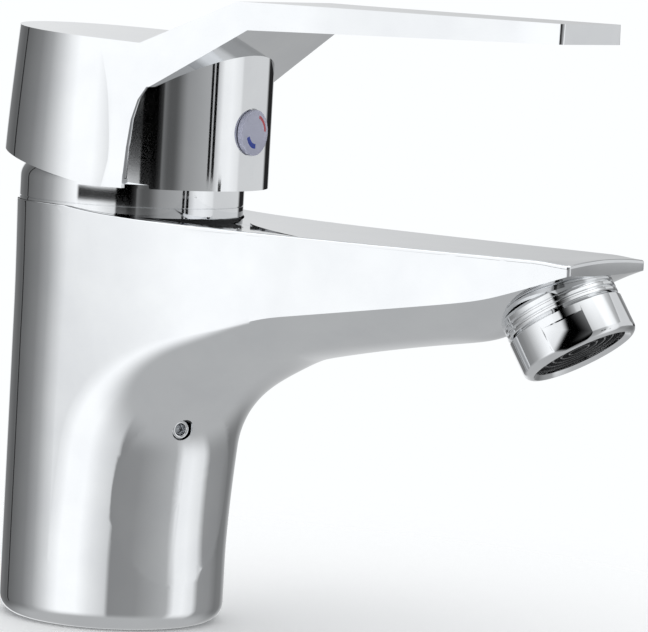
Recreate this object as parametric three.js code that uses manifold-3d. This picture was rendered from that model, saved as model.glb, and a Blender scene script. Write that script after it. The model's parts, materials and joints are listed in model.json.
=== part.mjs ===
// Single-lever basin mixer: chromed brass body with a projecting spout, a lever
// handle on a ceramic-disc cartridge, and a screwed aerator at the spout tip.
// Millimetres, +Z up, spout along +X, origin at the centre of the deck face.
import * as THREE from 'three';
import { mergeVertices } from 'three/addons/utils/BufferGeometryUtils.js';
import Module from 'manifold-3d';

// ---- fits ----
const gap = 0.3;                 // between pieces that touch or run on each other
const swingGap = 0.6;            // around pieces that swing past each other

// ---- body ----
const columnRadius = 24.2;
const columnFlare = 0.7;         // extra radius at the top of the column
const flareStart = 58;
const footFillet = 4;
const frontBulgeStart = 14;
const frontBulge = 1.7;
const throatX = 52;              // centre that the sections of the bend turn about
const throatZ = 38;
const throatWaves = { mean: 24.175, cos2: 1.6, cos4: 0.325, sin2: -2.05, sin4: 0.325 };
const rearTop = 89.7;            // top of the column behind the handle
const spoutTop = 87.6;
const spoutFlatStart = 45;
const spoutTipX = 117.7;
const spoutTipHalfWidth = 15.5;
const spoutTipThickness = 2.6;
const tipRamp = 0.648;           // rise of the underside towards the tip
const tipStations = [29.7, 23.7, 19.7, 14.7, 9.7, 4.7, 0];   // sections of the tip, by distance from its end
const undersideRise = 0.24;
const undersideCurve = 0.00134;
const creaseDrop = 9.8;          // from the side crease down to the keel at the root
const creaseRise = 0.16;

// ---- cartridge chamber and waterways ----
const chamberFloor = 60;
const chamberRadius = 17.6;
const chamberShoulder = 84;
const nutLedge = 2.7;            // seat that the nut's thread stands outside the chamber wall
const nutThreadRadius = chamberRadius + nutLedge;
const portRadius = 2.6;
const inletPortX = -3;
const inletPortY = 6.5;
const outletPortX = 5;
const sealLap = 0.9;             // disc face that seals beside a port
const waterwayRadius = 4.6;
const waterwayDrop = 9;          // below the chamber floor, where it turns towards the spout
const hoseSocketRadius = 4.6;
const hoseSocketDepth = 14;
const studHoleRadius = 3.4;
const studHoleX = -12.5;
const studHoleDepth = 18;

// ---- base gasket ----
const gasketInner = 17.2;
const gasketOuter = 19.2;
const gasketThickness = 2.2;

// ---- dome ring ----
const ringBottom = 87.9;
const ringInset = 0.1;           // ring side behind the column side
const ringBottomRadius = columnRadius - ringInset;
const ringShoulder = 94;
const ringTop = 98;
const ringDome = 1.2;            // how far the top edge comes in
const ringEdge = 0.6;            // rounding of the top edge
const ringWall = 1.6;

// ---- retaining nut ----
const nutTop = 94;
const nutFlatInset = 2.3;        // flats behind the thread
const nutFlats = 2 * (nutThreadRadius - nutFlatInset);
const housingWall = 1.9;
const housingInner = chamberRadius - gap - housingWall;
const flangeSlack = 1;           // rotor flange inside the housing
const rotorFlangeRadius = housingInner - flangeSlack;
const rotorShoulder = 1.3;       // flange outside the neck
const neckInner = rotorFlangeRadius - rotorShoulder;
const neckWall = 2.1;
const nutBore = neckInner + neckWall + gap;
const nutThreadTop = 88.6;

// ---- cartridge ----
const baseThickness = 4;
const fixedDiscThickness = 4.5;
const movingDiscThickness = 4;
const discRoof = 1.6;            // ceramic left above the mixing pocket
const discRim = 1.2;             // ceramic left around it
const carrierThickness = 4.4;
const discSlack = 0.8;           // fixed disc inside the housing
const fixedDiscRadius = housingInner - discSlack;
const slideRoom = 4;             // moving disc inside the housing, both ways of its slide
const movingDiscRadius = housingInner - slideRoom;
const neckTop = 96.9;
const rotorFlangeThickness = 4;
const rotorTop = 96.4;
const sealWidth = 1.4;
const sealHeight = 1.6;

// ---- spindle ----
const pivotZ = 92;
const restTilt = 11;             // degrees the spindle leans forward at rest, half of the lever's lift
const spindleSide = 7.4;
const spindleTop = 117;
const spindleArmRadius = 2.2;
const spindleBallRadius = 2.6;
const spindleArm = 15;           // pivot to ball centre
const pinRadius = 1.5;
const pinInset = 2.3;            // pin ends inside the rotor
const pinLength = 2 * (neckInner - gap - pinInset);
const stemSlotHalfLength = 7;

// ---- handle ----
const bellStand = 3.7;           // handle side outside the ring side
const bellBottomRadius = ringBottomRadius + bellStand;
const bellTaper = 1.8;           // how far the side comes in towards the cap
const bellTopRadius = bellBottomRadius - bellTaper;
const bellTopZ = 125.6;          // cap height on the axis
const capSlope = 0.05;
const handleBottom = 94.4;
const rearCutSlope = 0.195;      // the rear lower edge rises towards the back
const rearCutStart = 8;
const sillHeight = 1.9;
const cheekX = 14;
const cheekLean = 0.075;
const drumRadius = 24.2;
const drumX = 5.9;               // axis of the drum under the lever
const drumWall = 2.2;
const bellWall = 3;
const capRoof = 3.2;
const riserFootX = 16;
const riserTopX = 36.5;
const leverTop = 134.7;
const leverTipX = 111;
const leverRootHalfWidth = 20.5;
const leverTipHalfWidth = 12.3;
const leverTipThickness = 4;
const leverUndersideX = 39.2;
const leverUndersideZ = 128.9;
const riserUndersideX = 19.8;
const riserUndersideZ = 116.4;
const socketBlockRadius = 9;
const socketBlockBottom = 104;

// ---- handle set screw and index badge ----
const badgeZ = 106.8;
const badgeRadius = 4.85;
const badgeProud = 1;
const badgeStemRadius = 2.6;
const badgeStemLength = 4;
const badgeRecess = 0.7;         // depth of its seat in the drum
const screwRadius = 2.3;
const screwLength = 4.5;
const hexSocketRadius = 1.25;
const hexSocketDepth = 2.5;

// ---- aerator ----
const aeratorTilt = 32.9;        // degrees between the jet and straight down
const aeratorSetback = 4.6;      // centre of the outlet face behind the spout tip
const aeratorX = spoutTipX - aeratorSetback;
const aeratorZ = 67.8;
const aeratorRadius = 12.4;
const aeratorLength = 8.4;
const aeratorMouthRadius = 10.5;
const aeratorLipRadius = 9.9;
const aeratorRim = 1.1;
const spigotRadius = 10.7;       // threaded spigot of the spout inside the aerator sleeve
const spigotBore = 8.6;
const collarRadius = 12.2;
const collarLength = 4;
const collarGroove = 0.5;        // depth and width of the grooves
const collarLand = 0.9;          // rib between two grooves
const insertLength = 2.8;
const insertPlate = 1.2;
const ribRadii = [1.9, 4.2, 6.5];
const ribWidth = 0.9;
const jetHoleRadius = 0.5;
const washerThickness = 1.4;
const washerBore = 8.2;

// ---- chain eyelet ----
const eyeletHeight = 43.6;
const eyeletAzimuth = -25;       // degrees from the spout direction
const eyeletRadius = 2;
const eyeletBore = 1.3;
const eyeletLength = 5;

const bite = 1;                  // how far joined shapes reach into each other

const segments = 32;

const wasm = await Module();
wasm.setup();

// ---------------------------------------------------------------- helpers
const deg = THREE.MathUtils.degToRad;

function solid(geometry) {
  const bare = geometry.clone();
  bare.deleteAttribute('normal');
  bare.deleteAttribute('uv');
  const merged = mergeVertices(bare, 1e-4);
  const triangles = [];
  const index = merged.index.array;
  for (let i = 0; i < index.length; i += 3) {
    const [a, b, c] = [index[i], index[i + 1], index[i + 2]];
    if (a !== b && b !== c && c !== a) triangles.push(a, b, c);
  }
  return new wasm.Manifold(new wasm.Mesh({
    numProp: 3,
    vertProperties: new Float32Array(merged.attributes.position.array),
    triVerts: new Uint32Array(triangles),
  }));
}

function geometryOf(manifold) {
  const mesh = manifold.getMesh();
  const geometry = new THREE.BufferGeometry();
  geometry.setAttribute('position', new THREE.BufferAttribute(mesh.vertProperties, 3));
  geometry.setIndex(new THREE.BufferAttribute(mesh.triVerts, 1));
  geometry.computeVertexNormals();
  return geometry;
}

function join(first, ...others) {
  return others.reduce((sum, next) => sum.add(next), first);
}

function cut(first, ...others) {
  return others.reduce((rest, next) => rest.subtract(next), first);
}

// points are [radius, z]; the profile starts and ends on the axis or closes on itself
function turned(points, steps = segments) {
  const profile = points.map(([radius, z]) => new THREE.Vector2(radius, z));
  const geometry = new THREE.LatheGeometry(profile, steps);
  geometry.rotateX(Math.PI / 2);
  return geometry;
}

function rod(radius, bottom, top, x = 0, y = 0, steps = segments) {
  const geometry = turned([[0, bottom], [radius, bottom], [radius, top], [0, top]], steps);
  geometry.translate(x, y, 0);
  return geometry;
}

function tube(inner, outer, bottom, top, steps = segments) {
  return turned([[inner, bottom], [outer, bottom], [outer, top], [inner, top], [inner, bottom]], steps);
}

// side outline of [x, z] points, extruded across the width
function sidePrism(points, halfWidth) {
  const shape = new THREE.Shape(points.map(([x, z]) => new THREE.Vector2(x, z)));
  const geometry = new THREE.ExtrudeGeometry(shape, { depth: 2 * halfWidth, bevelEnabled: false });
  geometry.translate(0, 0, -halfWidth);
  geometry.rotateX(Math.PI / 2);
  return geometry;
}

// plan outline of [x, y] points, extruded upwards
function planPrism(points, bottom, top) {
  const shape = new THREE.Shape(points.map(([x, y]) => new THREE.Vector2(x, y)));
  const geometry = new THREE.ExtrudeGeometry(shape, { depth: top - bottom, bevelEnabled: false });
  geometry.translate(0, 0, bottom);
  return geometry;
}

function block(x0, x1, y0, y1, z0, z1) {
  const geometry = new THREE.BoxGeometry(x1 - x0, y1 - y0, z1 - z0);
  geometry.translate((x0 + x1) / 2, (y0 + y1) / 2, (z0 + z1) / 2);
  return geometry;
}

function pipe(points, radius) {
  const path = new THREE.CatmullRomCurve3(points.map(([x, y, z]) => new THREE.Vector3(x, y, z)));
  const section = new THREE.Shape();
  section.absarc(0, 0, radius, 0, 2 * Math.PI);
  return new THREE.ExtrudeGeometry(section, { steps: 14, curveSegments: 8, extrudePath: path });
}

function ringOfSection(major, minor, z) {
  const geometry = new THREE.TorusGeometry(major, minor, 8, 28);
  geometry.translate(0, 0, z);
  return geometry;
}

// blend that follows the higher of two values and rounds the corner between them
function softMax(a, b, round) {
  return 0.5 * (a + b + Math.hypot(a - b, round));
}

const materials = {
  chrome: () => new THREE.MeshStandardMaterial({ color: 0xd9dcde, roughness: 0.06, metalness: 1 }),
  brass: () => new THREE.MeshStandardMaterial({ color: 0xc9a455, roughness: 0.3, metalness: 1 }),
  steel: () => new THREE.MeshStandardMaterial({ color: 0xa9adb0, roughness: 0.3, metalness: 1 }),
  rubber: () => new THREE.MeshStandardMaterial({ color: 0x1b1c1e, roughness: 0.8, metalness: 0 }),
  ceramic: () => new THREE.MeshStandardMaterial({ color: 0xefeee8, roughness: 0.35, metalness: 0 }),
  whitePlastic: () => new THREE.MeshStandardMaterial({ color: 0xe4e6e8, roughness: 0.45, metalness: 0 }),
  greyPlastic: () => new THREE.MeshStandardMaterial({ color: 0x6f757b, roughness: 0.5, metalness: 0 }),
  badgePlastic: () => new THREE.MeshStandardMaterial({ color: 0xc9cbe0, roughness: 0.3, metalness: 0 }),
};

// ---------------------------------------------------------------- body casting
function columnRadiusAt(z) {
  const foot = Math.min(Math.max(z, 0), footFillet);
  const inset = footFillet - Math.sqrt(footFillet ** 2 - (footFillet - foot) ** 2);
  const rise = THREE.MathUtils.smoothstep(z, flareStart, rearTop);
  return columnRadius - inset + columnFlare * rise;
}

function columnFrontAt(z) {
  const t = Math.max(0, (z - frontBulgeStart) / (throatZ - frontBulgeStart));
  return columnRadiusAt(z) + frontBulge * t ** 1.5;
}

function throatRadiusAt(angle) {
  const w = throatWaves;
  return w.mean + w.cos2 * Math.cos(2 * angle) + w.cos4 * Math.cos(4 * angle)
    + w.sin2 * Math.sin(2 * angle) + w.sin4 * Math.sin(4 * angle);
}

function keelAt(x) {
  const run = x - throatX;
  const curve = throatZ + throatRadiusAt(Math.PI / 2) + undersideRise * run - undersideCurve * run ** 2;
  const tipBottom = spoutTop - spoutTipThickness - 0.4;
  const ramp = tipBottom - tipRamp * (spoutTipX - x);
  return softMax(curve, ramp, 1.5);
}

function creaseAt(x) {
  const run = x - throatX;
  const line = throatZ + throatRadiusAt(Math.PI / 2) + creaseDrop + creaseRise * run;
  const tipLine = spoutTop - spoutTipThickness - 0.364 * (spoutTipX - x);
  return softMax(line, tipLine, 1);
}

function planHalfWidth(x, radius) {
  const fall = (radius - spoutTipHalfWidth) / spoutTipX;
  const tangent = radius * Math.sin(Math.atan(fall));
  if (x < tangent) return Math.sqrt(Math.max(0, radius ** 2 - x ** 2));
  return Math.sqrt(radius ** 2 - tangent ** 2) - fall * (x - tangent);
}

// one closed loop of points for the section that leaves (ox, oz) along (dx, dz)
function bodySection(section) {
  const { ox, oz, dx, dz, inner, rise, spread, sweep } = section;
  const capZ = 105;
  const arcSteps = 8;
  const sideSteps = 3;
  const backSteps = 8;
  const halfWidth = (x, z) => {
    const radius = columnRadiusAt(z);
    return radius + (planHalfWidth(Math.max(x, 0), radius) - radius) * spread;
  };
  const at = (u) => [ox + dx * u, oz + dz * u];
  const toAxis = dx < -1e-6 ? -ox / dx : Infinity;
  const toCap = dz > 1e-6 ? (capZ - oz) / dz : Infinity;
  const sideEnd = Math.max(Math.min(toAxis, toCap), inner + rise);
  const half = [];
  for (let i = 0; i <= arcSteps; i++) {
    const alpha = sweep * i / arcSteps;
    const u = inner + rise * (1 - Math.cos(alpha)) / (1 - Math.cos(sweep));
    const [x, z] = at(u);
    half.push([x, z, halfWidth(...at(inner + rise)) * Math.sin(alpha) / Math.sin(sweep)]);
  }
  for (let i = 1; i <= sideSteps; i++) {
    const [x, z] = at(inner + rise + (sideEnd - inner - rise) * i / sideSteps);
    half.push([x, z, halfWidth(x, z)]);
  }
  const [, endZ, endWidth] = half[half.length - 1];
  const depth = toAxis <= toCap ? columnRadiusAt(endZ) / -dx : 3;
  for (let i = 1; i <= backSteps; i++) {
    const beta = Math.PI / 2 * i / backSteps;
    const [x, z] = at(sideEnd + depth * Math.sin(beta));
    half.push([x, z, endWidth * Math.cos(beta)]);
  }
  const loop = half.map(([x, z, w]) => [x, -w, z]);
  for (let i = half.length - 2; i > 0; i--) loop.push([half[i][0], half[i][2], half[i][1]]);
  return loop;
}

function bodySections() {
  const sections = [];
  const footSteps = 4;
  for (let i = 0; i <= footSteps; i++) {
    const z = footFillet * (1 - Math.cos(Math.PI / 2 * i / footSteps));
    sections.push({ z });
  }
  for (const z of [9, 14, 22, 30]) sections.push({ z });
  const column = sections.map(({ z }) => ({
    ox: throatX, oz: z, dx: -1, dz: 0, inner: throatX - columnFrontAt(z), rise: columnRadiusAt(z), spread: 0,
    sweep: Math.PI / 2,
  }));
  const bend = [];
  const bendSteps = 12;
  for (let i = 0; i <= bendSteps; i++) {
    const angle = Math.PI / 2 * i / bendSteps;
    bend.push({
      ox: throatX, oz: throatZ, dx: -Math.cos(angle), dz: Math.sin(angle), inner: throatRadiusAt(angle),
      rise: creaseDrop + (columnRadius - creaseDrop) * Math.cos(angle) ** 3,
      spread: Math.sin(angle) ** 2, sweep: deg(90 - 12 * Math.sin(angle) ** 4),
    });
  }
  const spout = [];
  const tip = tipStations.map((distance) => spoutTipX - distance);
  const stations = [60, 70, 80].filter((x) => x < tip[0]);
  for (const x of [...stations, ...tip]) {
    const near = THREE.MathUtils.smoothstep(x, throatX, 80);
    spout.push({
      ox: x, oz: throatZ, dx: 0, dz: 1, inner: keelAt(x) - throatZ, rise: creaseAt(x) - keelAt(x), spread: 1,
      sweep: deg(78 - 18 * near),
    });
  }
  return [...column, ...bend, ...spout].map(bodySection);
}

function loft(loops) {
  const positions = loops.flat(2);
  const count = loops[0].length;
  const index = [];
  for (let s = 0; s + 1 < loops.length; s++) {
    for (let i = 0; i < count; i++) {
      const j = (i + 1) % count;
      const [a, b, c, d] = [s * count + i, s * count + j, (s + 1) * count + j, (s + 1) * count + i];
      index.push(a, c, b, a, d, c);
    }
  }
  for (const end of [0, loops.length - 1]) {
    for (let i = 1; i + 1 < count; i++) {
      const [a, b, c] = [end * count, end * count + i, end * count + i + 1];
      if (end === 0) index.push(a, b, c);
      else index.push(a, c, b);
    }
  }
  const geometry = new THREE.BufferGeometry();
  geometry.setAttribute('position', new THREE.Float32BufferAttribute(positions, 3));
  geometry.setIndex(index);
  return geometry;
}

function bodyTopCutter() {
  return sidePrism([
    [-60, 130], [-60, rearTop], [0, rearTop], [spoutFlatStart, spoutTop], [spoutTipX - 12, spoutTop],
    [spoutTipX + 1, spoutTop - 0.5], [spoutTipX + 20, spoutTop - 0.5], [spoutTipX + 20, 130],
  ], 60);
}

const insertBottom = aeratorRim + gap;
const insertTop = insertBottom + insertLength;
const washerBottom = insertTop + gap;
const spigotBottom = washerBottom + washerThickness + gap;
const collarBottom = aeratorLength + 0.5;

// turns a geometry made along +Z from its mouth at 0 into the aerator's place
function onAeratorAxis(geometry) {
  geometry.rotateY(-deg(aeratorTilt));
  geometry.translate(aeratorX, 0, aeratorZ);
  return geometry;
}

// the collar and threaded spigot that carry the aerator
function spoutNose() {
  const inner = collarRadius - collarGroove;
  const top = collarBottom + collarLength;
  const profile = [[0, spigotBottom], [spigotRadius, spigotBottom], [spigotRadius, collarBottom]];
  for (const rib of [0, 1]) {
    const foot = collarBottom + rib * (collarLand + collarGroove);
    profile.push([collarRadius, foot], [collarRadius, foot + collarLand], [inner, foot + collarLand]);
    if (rib === 0) profile.push([inner, foot + collarLand + collarGroove]);
  }
  profile.push([inner, top], [0, top]);
  return solid(onAeratorAxis(turned(profile)));
}

function bodyCasting() {
  const shell = cut(solid(loft(bodySections())), solid(bodyTopCutter()));
  const chamber = solid(turned([
    [0, chamberFloor], [chamberRadius, chamberFloor], [chamberRadius, chamberShoulder],
    [nutThreadRadius + gap, chamberShoulder], [nutThreadRadius + gap, ringBottom - gap],
    [ringBottomRadius + gap, ringBottom - gap], [ringBottomRadius + gap, 100], [0, 100],
  ]));
  const inlets = [-1, 1].map((side) => join(
    solid(rod(portRadius, hoseSocketDepth - 1, chamberFloor + 1, inletPortX, side * inletPortY, 20)),
    solid(rod(hoseSocketRadius, -1, hoseSocketDepth, inletPortX, side * inletPortY, 24)),
  ));
  const low = chamberFloor - waterwayDrop;
  const outletPort = solid(rod(portRadius, low + 3, chamberFloor + bite, outletPortX, 0, 20));
  const outlet = solid(pipe([
    [outletPortX, 0, low + 3], [outletPortX + 5, 0, low], [20, 0, low + 0.5], [30, 0, low + 6.5],
    [44, 0, low + 17], [62, 0, 74.5], [84, 0, 77], [aeratorX - 6, 0, aeratorZ + 9.3],
  ], waterwayRadius));
  const stud = solid(rod(studHoleRadius, -1, studHoleDepth, studHoleX, 0, 24));
  const groove = solid(tube(gasketInner - gap, gasketOuter + gap, -1, gasketThickness + gap));
  const eyelet = solid(eyeletPlaced(rod(eyeletRadius + gap, -eyeletLength - gap, 6, 0, 0, 16)));
  const noseBore = solid(onAeratorAxis(rod(spigotBore, spigotBottom - 1, collarBottom + 3, 0, 0, 32)));
  const nosed = join(shell, spoutNose());
  return geometryOf(cut(nosed, chamber, ...inlets, outletPort, outlet, stud, groove, eyelet, noseBore));
}

// a geometry along +Z with its face at 0 goes to the eyelet's place, facing outwards
function eyeletPlaced(geometry) {
  geometry.rotateY(Math.PI / 2);
  geometry.translate(columnFrontAt(eyeletHeight) - 0.6, 0, 0);
  geometry.rotateZ(deg(eyeletAzimuth));
  geometry.translate(0, 0, eyeletHeight);
  return geometry;
}

function chainEyelet() {
  return eyeletPlaced(tube(eyeletBore, eyeletRadius, -eyeletLength, 0, 16));
}

function baseGasket() {
  return tube(gasketInner, gasketOuter, 0, gasketThickness);
}

// ---------------------------------------------------------------- cartridge
const baseBottom = chamberFloor + 2 * gap;
const fixedDiscBottom = baseBottom + baseThickness + gap;
const movingDiscBottom = fixedDiscBottom + fixedDiscThickness + gap;
const carrierBottom = movingDiscBottom + movingDiscThickness + gap;
const rotorBottom = carrierBottom + carrierThickness + gap;
const housingOuter = chamberRadius - gap;
const housingBottom = baseBottom + 2.2 + gap;
const ballOffset = -spindleArm * Math.sin(deg(restTilt));
const ballZ = pivotZ - spindleArm * Math.cos(deg(restTilt));

const ports = [
  { name: 'cold', x: inletPortX, y: -inletPortY },
  { name: 'hot', x: inletPortX, y: inletPortY },
  { name: 'outlet', x: outletPortX, y: 0 },
];

function portHoles(radius, bottom, top) {
  return ports.map(({ x, y }) => solid(rod(radius, bottom, top, x, y, 20)));
}

function cartridgeBase() {
  const step = housingBottom - gap;
  const top = baseBottom + baseThickness;
  const plate = solid(turned([
    [0, baseBottom], [housingOuter, baseBottom], [housingOuter, step],
    [housingInner - gap, step], [housingInner - gap, top], [0, top],
  ]));
  const seats = portHoles(portRadius + sealWidth + gap, baseBottom - 1, baseBottom + sealHeight);
  return geometryOf(cut(plate, ...portHoles(portRadius, baseBottom - 1, top + 1), ...seats));
}

function portSeal({ x, y }) {
  const bottom = chamberFloor + gap;
  const geometry = tube(portRadius, portRadius + sealWidth, bottom, bottom + sealHeight, 20);
  geometry.translate(x, y, 0);
  return geometry;
}

function fixedDisc() {
  const disc = solid(rod(fixedDiscRadius, fixedDiscBottom, fixedDiscBottom + fixedDiscThickness));
  return geometryOf(cut(disc, ...portHoles(portRadius, fixedDiscBottom - 1, movingDiscBottom)));
}

// the wide arm of the mixing pocket reaches the inlets as the disc slides forward,
// and the narrow arm always reaches the outlet
function movingDisc() {
  const top = movingDiscBottom + movingDiscThickness;
  const disc = solid(rod(movingDiscRadius, movingDiscBottom, top, ballOffset));
  const limits = solid(rod(movingDiscRadius - discRim, movingDiscBottom - 2 * bite, top, ballOffset));
  const back = ballOffset - movingDiscRadius;
  const wide = inletPortY + portRadius;
  const narrow = inletPortY - portRadius - sealLap;
  const wideFront = inletPortX - portRadius - sealLap;
  const [low, high] = [movingDiscBottom - bite, top - discRoof];
  const arm = (front, half) => solid(block(back, front, -half, half, low, high));
  return geometryOf(disc.subtract(join(arm(wideFront, wide), arm(outletPortX, narrow)).intersect(limits)));
}

function discCarrier() {
  const top = carrierBottom + carrierThickness;
  const plate = solid(rod(movingDiscRadius, carrierBottom, top, ballOffset));
  const pocket = solid(rod(spindleBallRadius, ballZ - spindleBallRadius, top + bite, ballOffset, 0, 20));
  return geometryOf(plate.subtract(pocket));
}

function cartridgeHousing() {
  const shoulder = chamberShoulder - gap;
  const neckOuter = neckInner + neckWall;
  const flangeTop = rotorBottom + rotorFlangeThickness + gap;
  return turned([
    [housingInner, housingBottom], [housingOuter, housingBottom], [housingOuter, shoulder],
    [neckOuter, shoulder], [neckOuter, neckTop], [neckInner, neckTop], [neckInner, flangeTop],
    [rotorFlangeRadius + gap, flangeTop], [rotorFlangeRadius + gap, rotorBottom - gap],
    [housingInner, rotorBottom - gap - 0.4], [housingInner, housingBottom],
  ]);
}

function cartridgeRotor() {
  const radius = neckInner - gap;
  const flangeTop = rotorBottom + rotorFlangeThickness;
  const groove = [flangeTop + 2, flangeTop + 4.4];
  const barrel = solid(turned([
    [0, rotorBottom], [rotorFlangeRadius, rotorBottom], [rotorFlangeRadius, flangeTop], [radius, flangeTop],
    [radius, groove[0]], [radius - 1.6, groove[0]], [radius - 1.6, groove[1]], [radius, groove[1]],
    [radius, rotorTop], [0, rotorTop],
  ]));
  const slotHalfWidth = spindleSide / 2 + gap;
  const [low, high] = [rotorBottom - bite, rotorTop + bite];
  const length = stemSlotHalfLength;
  const slot = solid(block(-length, length, -slotHalfWidth, slotHalfWidth, low, high));
  const pinHole = rod(pinRadius + gap, -20, 20, 0, 0, 16);
  pinHole.rotateX(Math.PI / 2);
  pinHole.translate(0, 0, pivotZ);
  return geometryOf(cut(barrel, slot, solid(pinHole)));
}

function rotorSeal() {
  const flangeTop = rotorBottom + rotorFlangeThickness;
  return ringOfSection(neckInner - gap - 0.65, 0.62, flangeTop + 3.2);
}

// the spindle is drawn upright and leans towards the spout at rest, about its pin
function leant(geometry) {
  geometry.translate(0, 0, -pivotZ);
  geometry.rotateY(deg(restTilt));
  geometry.translate(0, 0, pivotZ);
  return geometry;
}

function spindle() {
  const half = spindleSide / 2;
  const ballCentre = pivotZ - spindleArm;
  const stem = solid(leant(block(-half, half, -half, half, pivotZ - 4, spindleTop)));
  const arm = solid(leant(rod(spindleArmRadius, ballCentre, pivotZ - 3, 0, 0, 16)));
  const ball = new THREE.SphereGeometry(spindleBallRadius - gap, 16, 10);
  ball.translate(0, 0, ballCentre);
  const pinHole = rod(pinRadius + gap, -20, 20, 0, 0, 16);
  pinHole.rotateX(Math.PI / 2);
  pinHole.translate(0, 0, pivotZ);
  return geometryOf(cut(join(stem, arm, solid(leant(ball))), solid(pinHole)));
}

function spindlePin() {
  const pin = rod(pinRadius, -pinLength / 2, pinLength / 2, 0, 0, 16);
  pin.rotateX(Math.PI / 2);
  pin.translate(0, 0, pivotZ);
  return pin;
}

// ---------------------------------------------------------------- nut and ring
function retainingNut() {
  const bottom = chamberShoulder;
  const thread = solid(rod(nutThreadRadius, bottom, nutThreadTop));
  const hex = solid(rod(nutFlats / 2 / Math.cos(Math.PI / 6), nutThreadTop - 1, nutTop, 0, 0, 6));
  return geometryOf(cut(join(thread, hex), solid(rod(nutBore, bottom - 1, nutTop + 1))));
}

function domeRing() {
  const inner = ringBottomRadius - ringWall;
  const topRadius = ringBottomRadius - ringDome;
  const hole = nutBore + ringWall;
  const arc = Array.from({ length: 4 }, (_, i) => {
    const angle = Math.PI / 2 * (i + 1) / 4;
    const [out, up] = [Math.cos(angle) - 1, Math.sin(angle) - 1];
    return [topRadius + ringEdge * out, ringTop + ringEdge * up];
  });
  return turned([
    [inner, ringBottom], [ringBottomRadius, ringBottom], [ringBottomRadius, ringShoulder],
    [topRadius, ringTop - ringEdge], ...arc, [hole, ringTop], [hole, ringTop - ringWall],
    [inner - ringDome, ringTop - ringWall], [inner, ringShoulder], [inner, ringBottom],
  ]);
}

// ---------------------------------------------------------------- handle
const capTopAt = (x) => bellTopZ - capSlope * x;

function bellRadiusAt(z) {
  const t = THREE.MathUtils.clamp((z - 100) / (124 - 100), 0, 1);
  return bellBottomRadius + (bellTopRadius - bellBottomRadius) * t;
}

function leverPlan() {
  const fall = (leverRootHalfWidth - leverTipHalfWidth) / (leverTipX - riserFootX);
  const root = leverRootHalfWidth + fall * riserFootX;
  return [[0, -root], [leverTipX, -leverTipHalfWidth], [leverTipX, leverTipHalfWidth], [0, root]];
}

function leverSide() {
  return [
    [0, riserUndersideZ - 4], [riserUndersideX, riserUndersideZ], [leverUndersideX, leverUndersideZ],
    [leverTipX + 5, leverTop - leverTipThickness + 0.1], [leverTipX + 5, leverTop], [riserTopX, leverTop],
    [riserFootX, capTopAt(riserFootX)], [0, capTopAt(0)],
  ];
}

function cheekCutter() {
  const sillTop = handleBottom + sillHeight;
  return sidePrism([
    [cheekX, sillTop], [60, sillTop], [60, leverUndersideZ + 12], [leverUndersideX, leverUndersideZ],
    [riserUndersideX, riserUndersideZ], [cheekX + 3, riserUndersideZ - 3.2],
    [cheekX + cheekLean * (riserUndersideZ - 7 - sillTop), riserUndersideZ - 7],
  ], 40);
}

function handleOutside() {
  const bell = solid(turned([
    [0, handleBottom], [bellRadiusAt(handleBottom), handleBottom], [bellRadiusAt(100), 100],
    [bellRadiusAt(112), 112], [bellRadiusAt(124), 124], [bellRadiusAt(130), 132], [0, 132],
  ], 56));
  const aboveCap = solid(sidePrism([[-60, 160], [-60, capTopAt(-60)], [60, capTopAt(60)], [60, 160]], 60));
  const plan = solid(planPrism(leverPlan(), handleBottom, leverTop + 10));
  const lever = solid(sidePrism(leverSide(), 40)).intersect(plan);
  const aboveDrum = solid(sidePrism([
    [-40, 150], [-40, riserUndersideZ - 8 + bite], [riserUndersideX, riserUndersideZ + bite],
    [leverUndersideX, leverUndersideZ + bite], [60, 150],
  ], 60));
  const drum = solid(rod(drumRadius, handleBottom, riserUndersideZ + 9, drumX, 0, 56)).subtract(aboveDrum);
  const frontOfBell = cut(bell, aboveCap, solid(cheekCutter()));
  return join(frontOfBell, lever, drum);
}

function rearCutter() {
  const reach = 60;
  return solid(sidePrism([
    [rearCutStart, handleBottom], [rearCutStart, handleBottom - 20], [-reach, handleBottom - 20],
    [-reach, handleBottom + rearCutSlope * (reach + rearCutStart)],
  ], reach));
}

function handleHollow() {
  const roof = riserUndersideZ + 3;
  const inner = bellTopRadius - bellWall;
  const ringRoom = ringBottomRadius + swingGap;
  const bell = solid(turned([
    [0, handleBottom - bite], [ringRoom + swingGap, handleBottom - bite], [ringRoom + swingGap, ringTop + 6],
    [inner, ringTop + 12], [inner, roof - 4], [inner - 4, roof], [0, roof],
  ]));
  const behindCheek = solid(block(-60, cheekX - drumWall, -60, 60, handleBottom - 20, leverTop));
  const drum = solid(rod(drumRadius - drumWall, handleBottom - bite, riserUndersideZ - 4, drumX, 0));
  const ring = solid(rod(ringRoom, handleBottom - bite, ringTop + swingGap));
  const socketBlock = solid(leant(rod(socketBlockRadius, socketBlockBottom, roof + 20, 0, 0, 24)));
  return cut(join(bell.intersect(behindCheek), drum, ring), socketBlock);
}

const badgeSeatX = drumX + drumRadius;
const screwRise = badgeZ + screwRadius - pivotZ;
const screwTipX = spindleSide / 2 / Math.cos(deg(restTilt)) + screwRise * Math.tan(deg(restTilt)) + gap;

function alongX(geometry, z) {
  geometry.rotateY(Math.PI / 2);
  geometry.translate(0, 0, z);
  return geometry;
}

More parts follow.
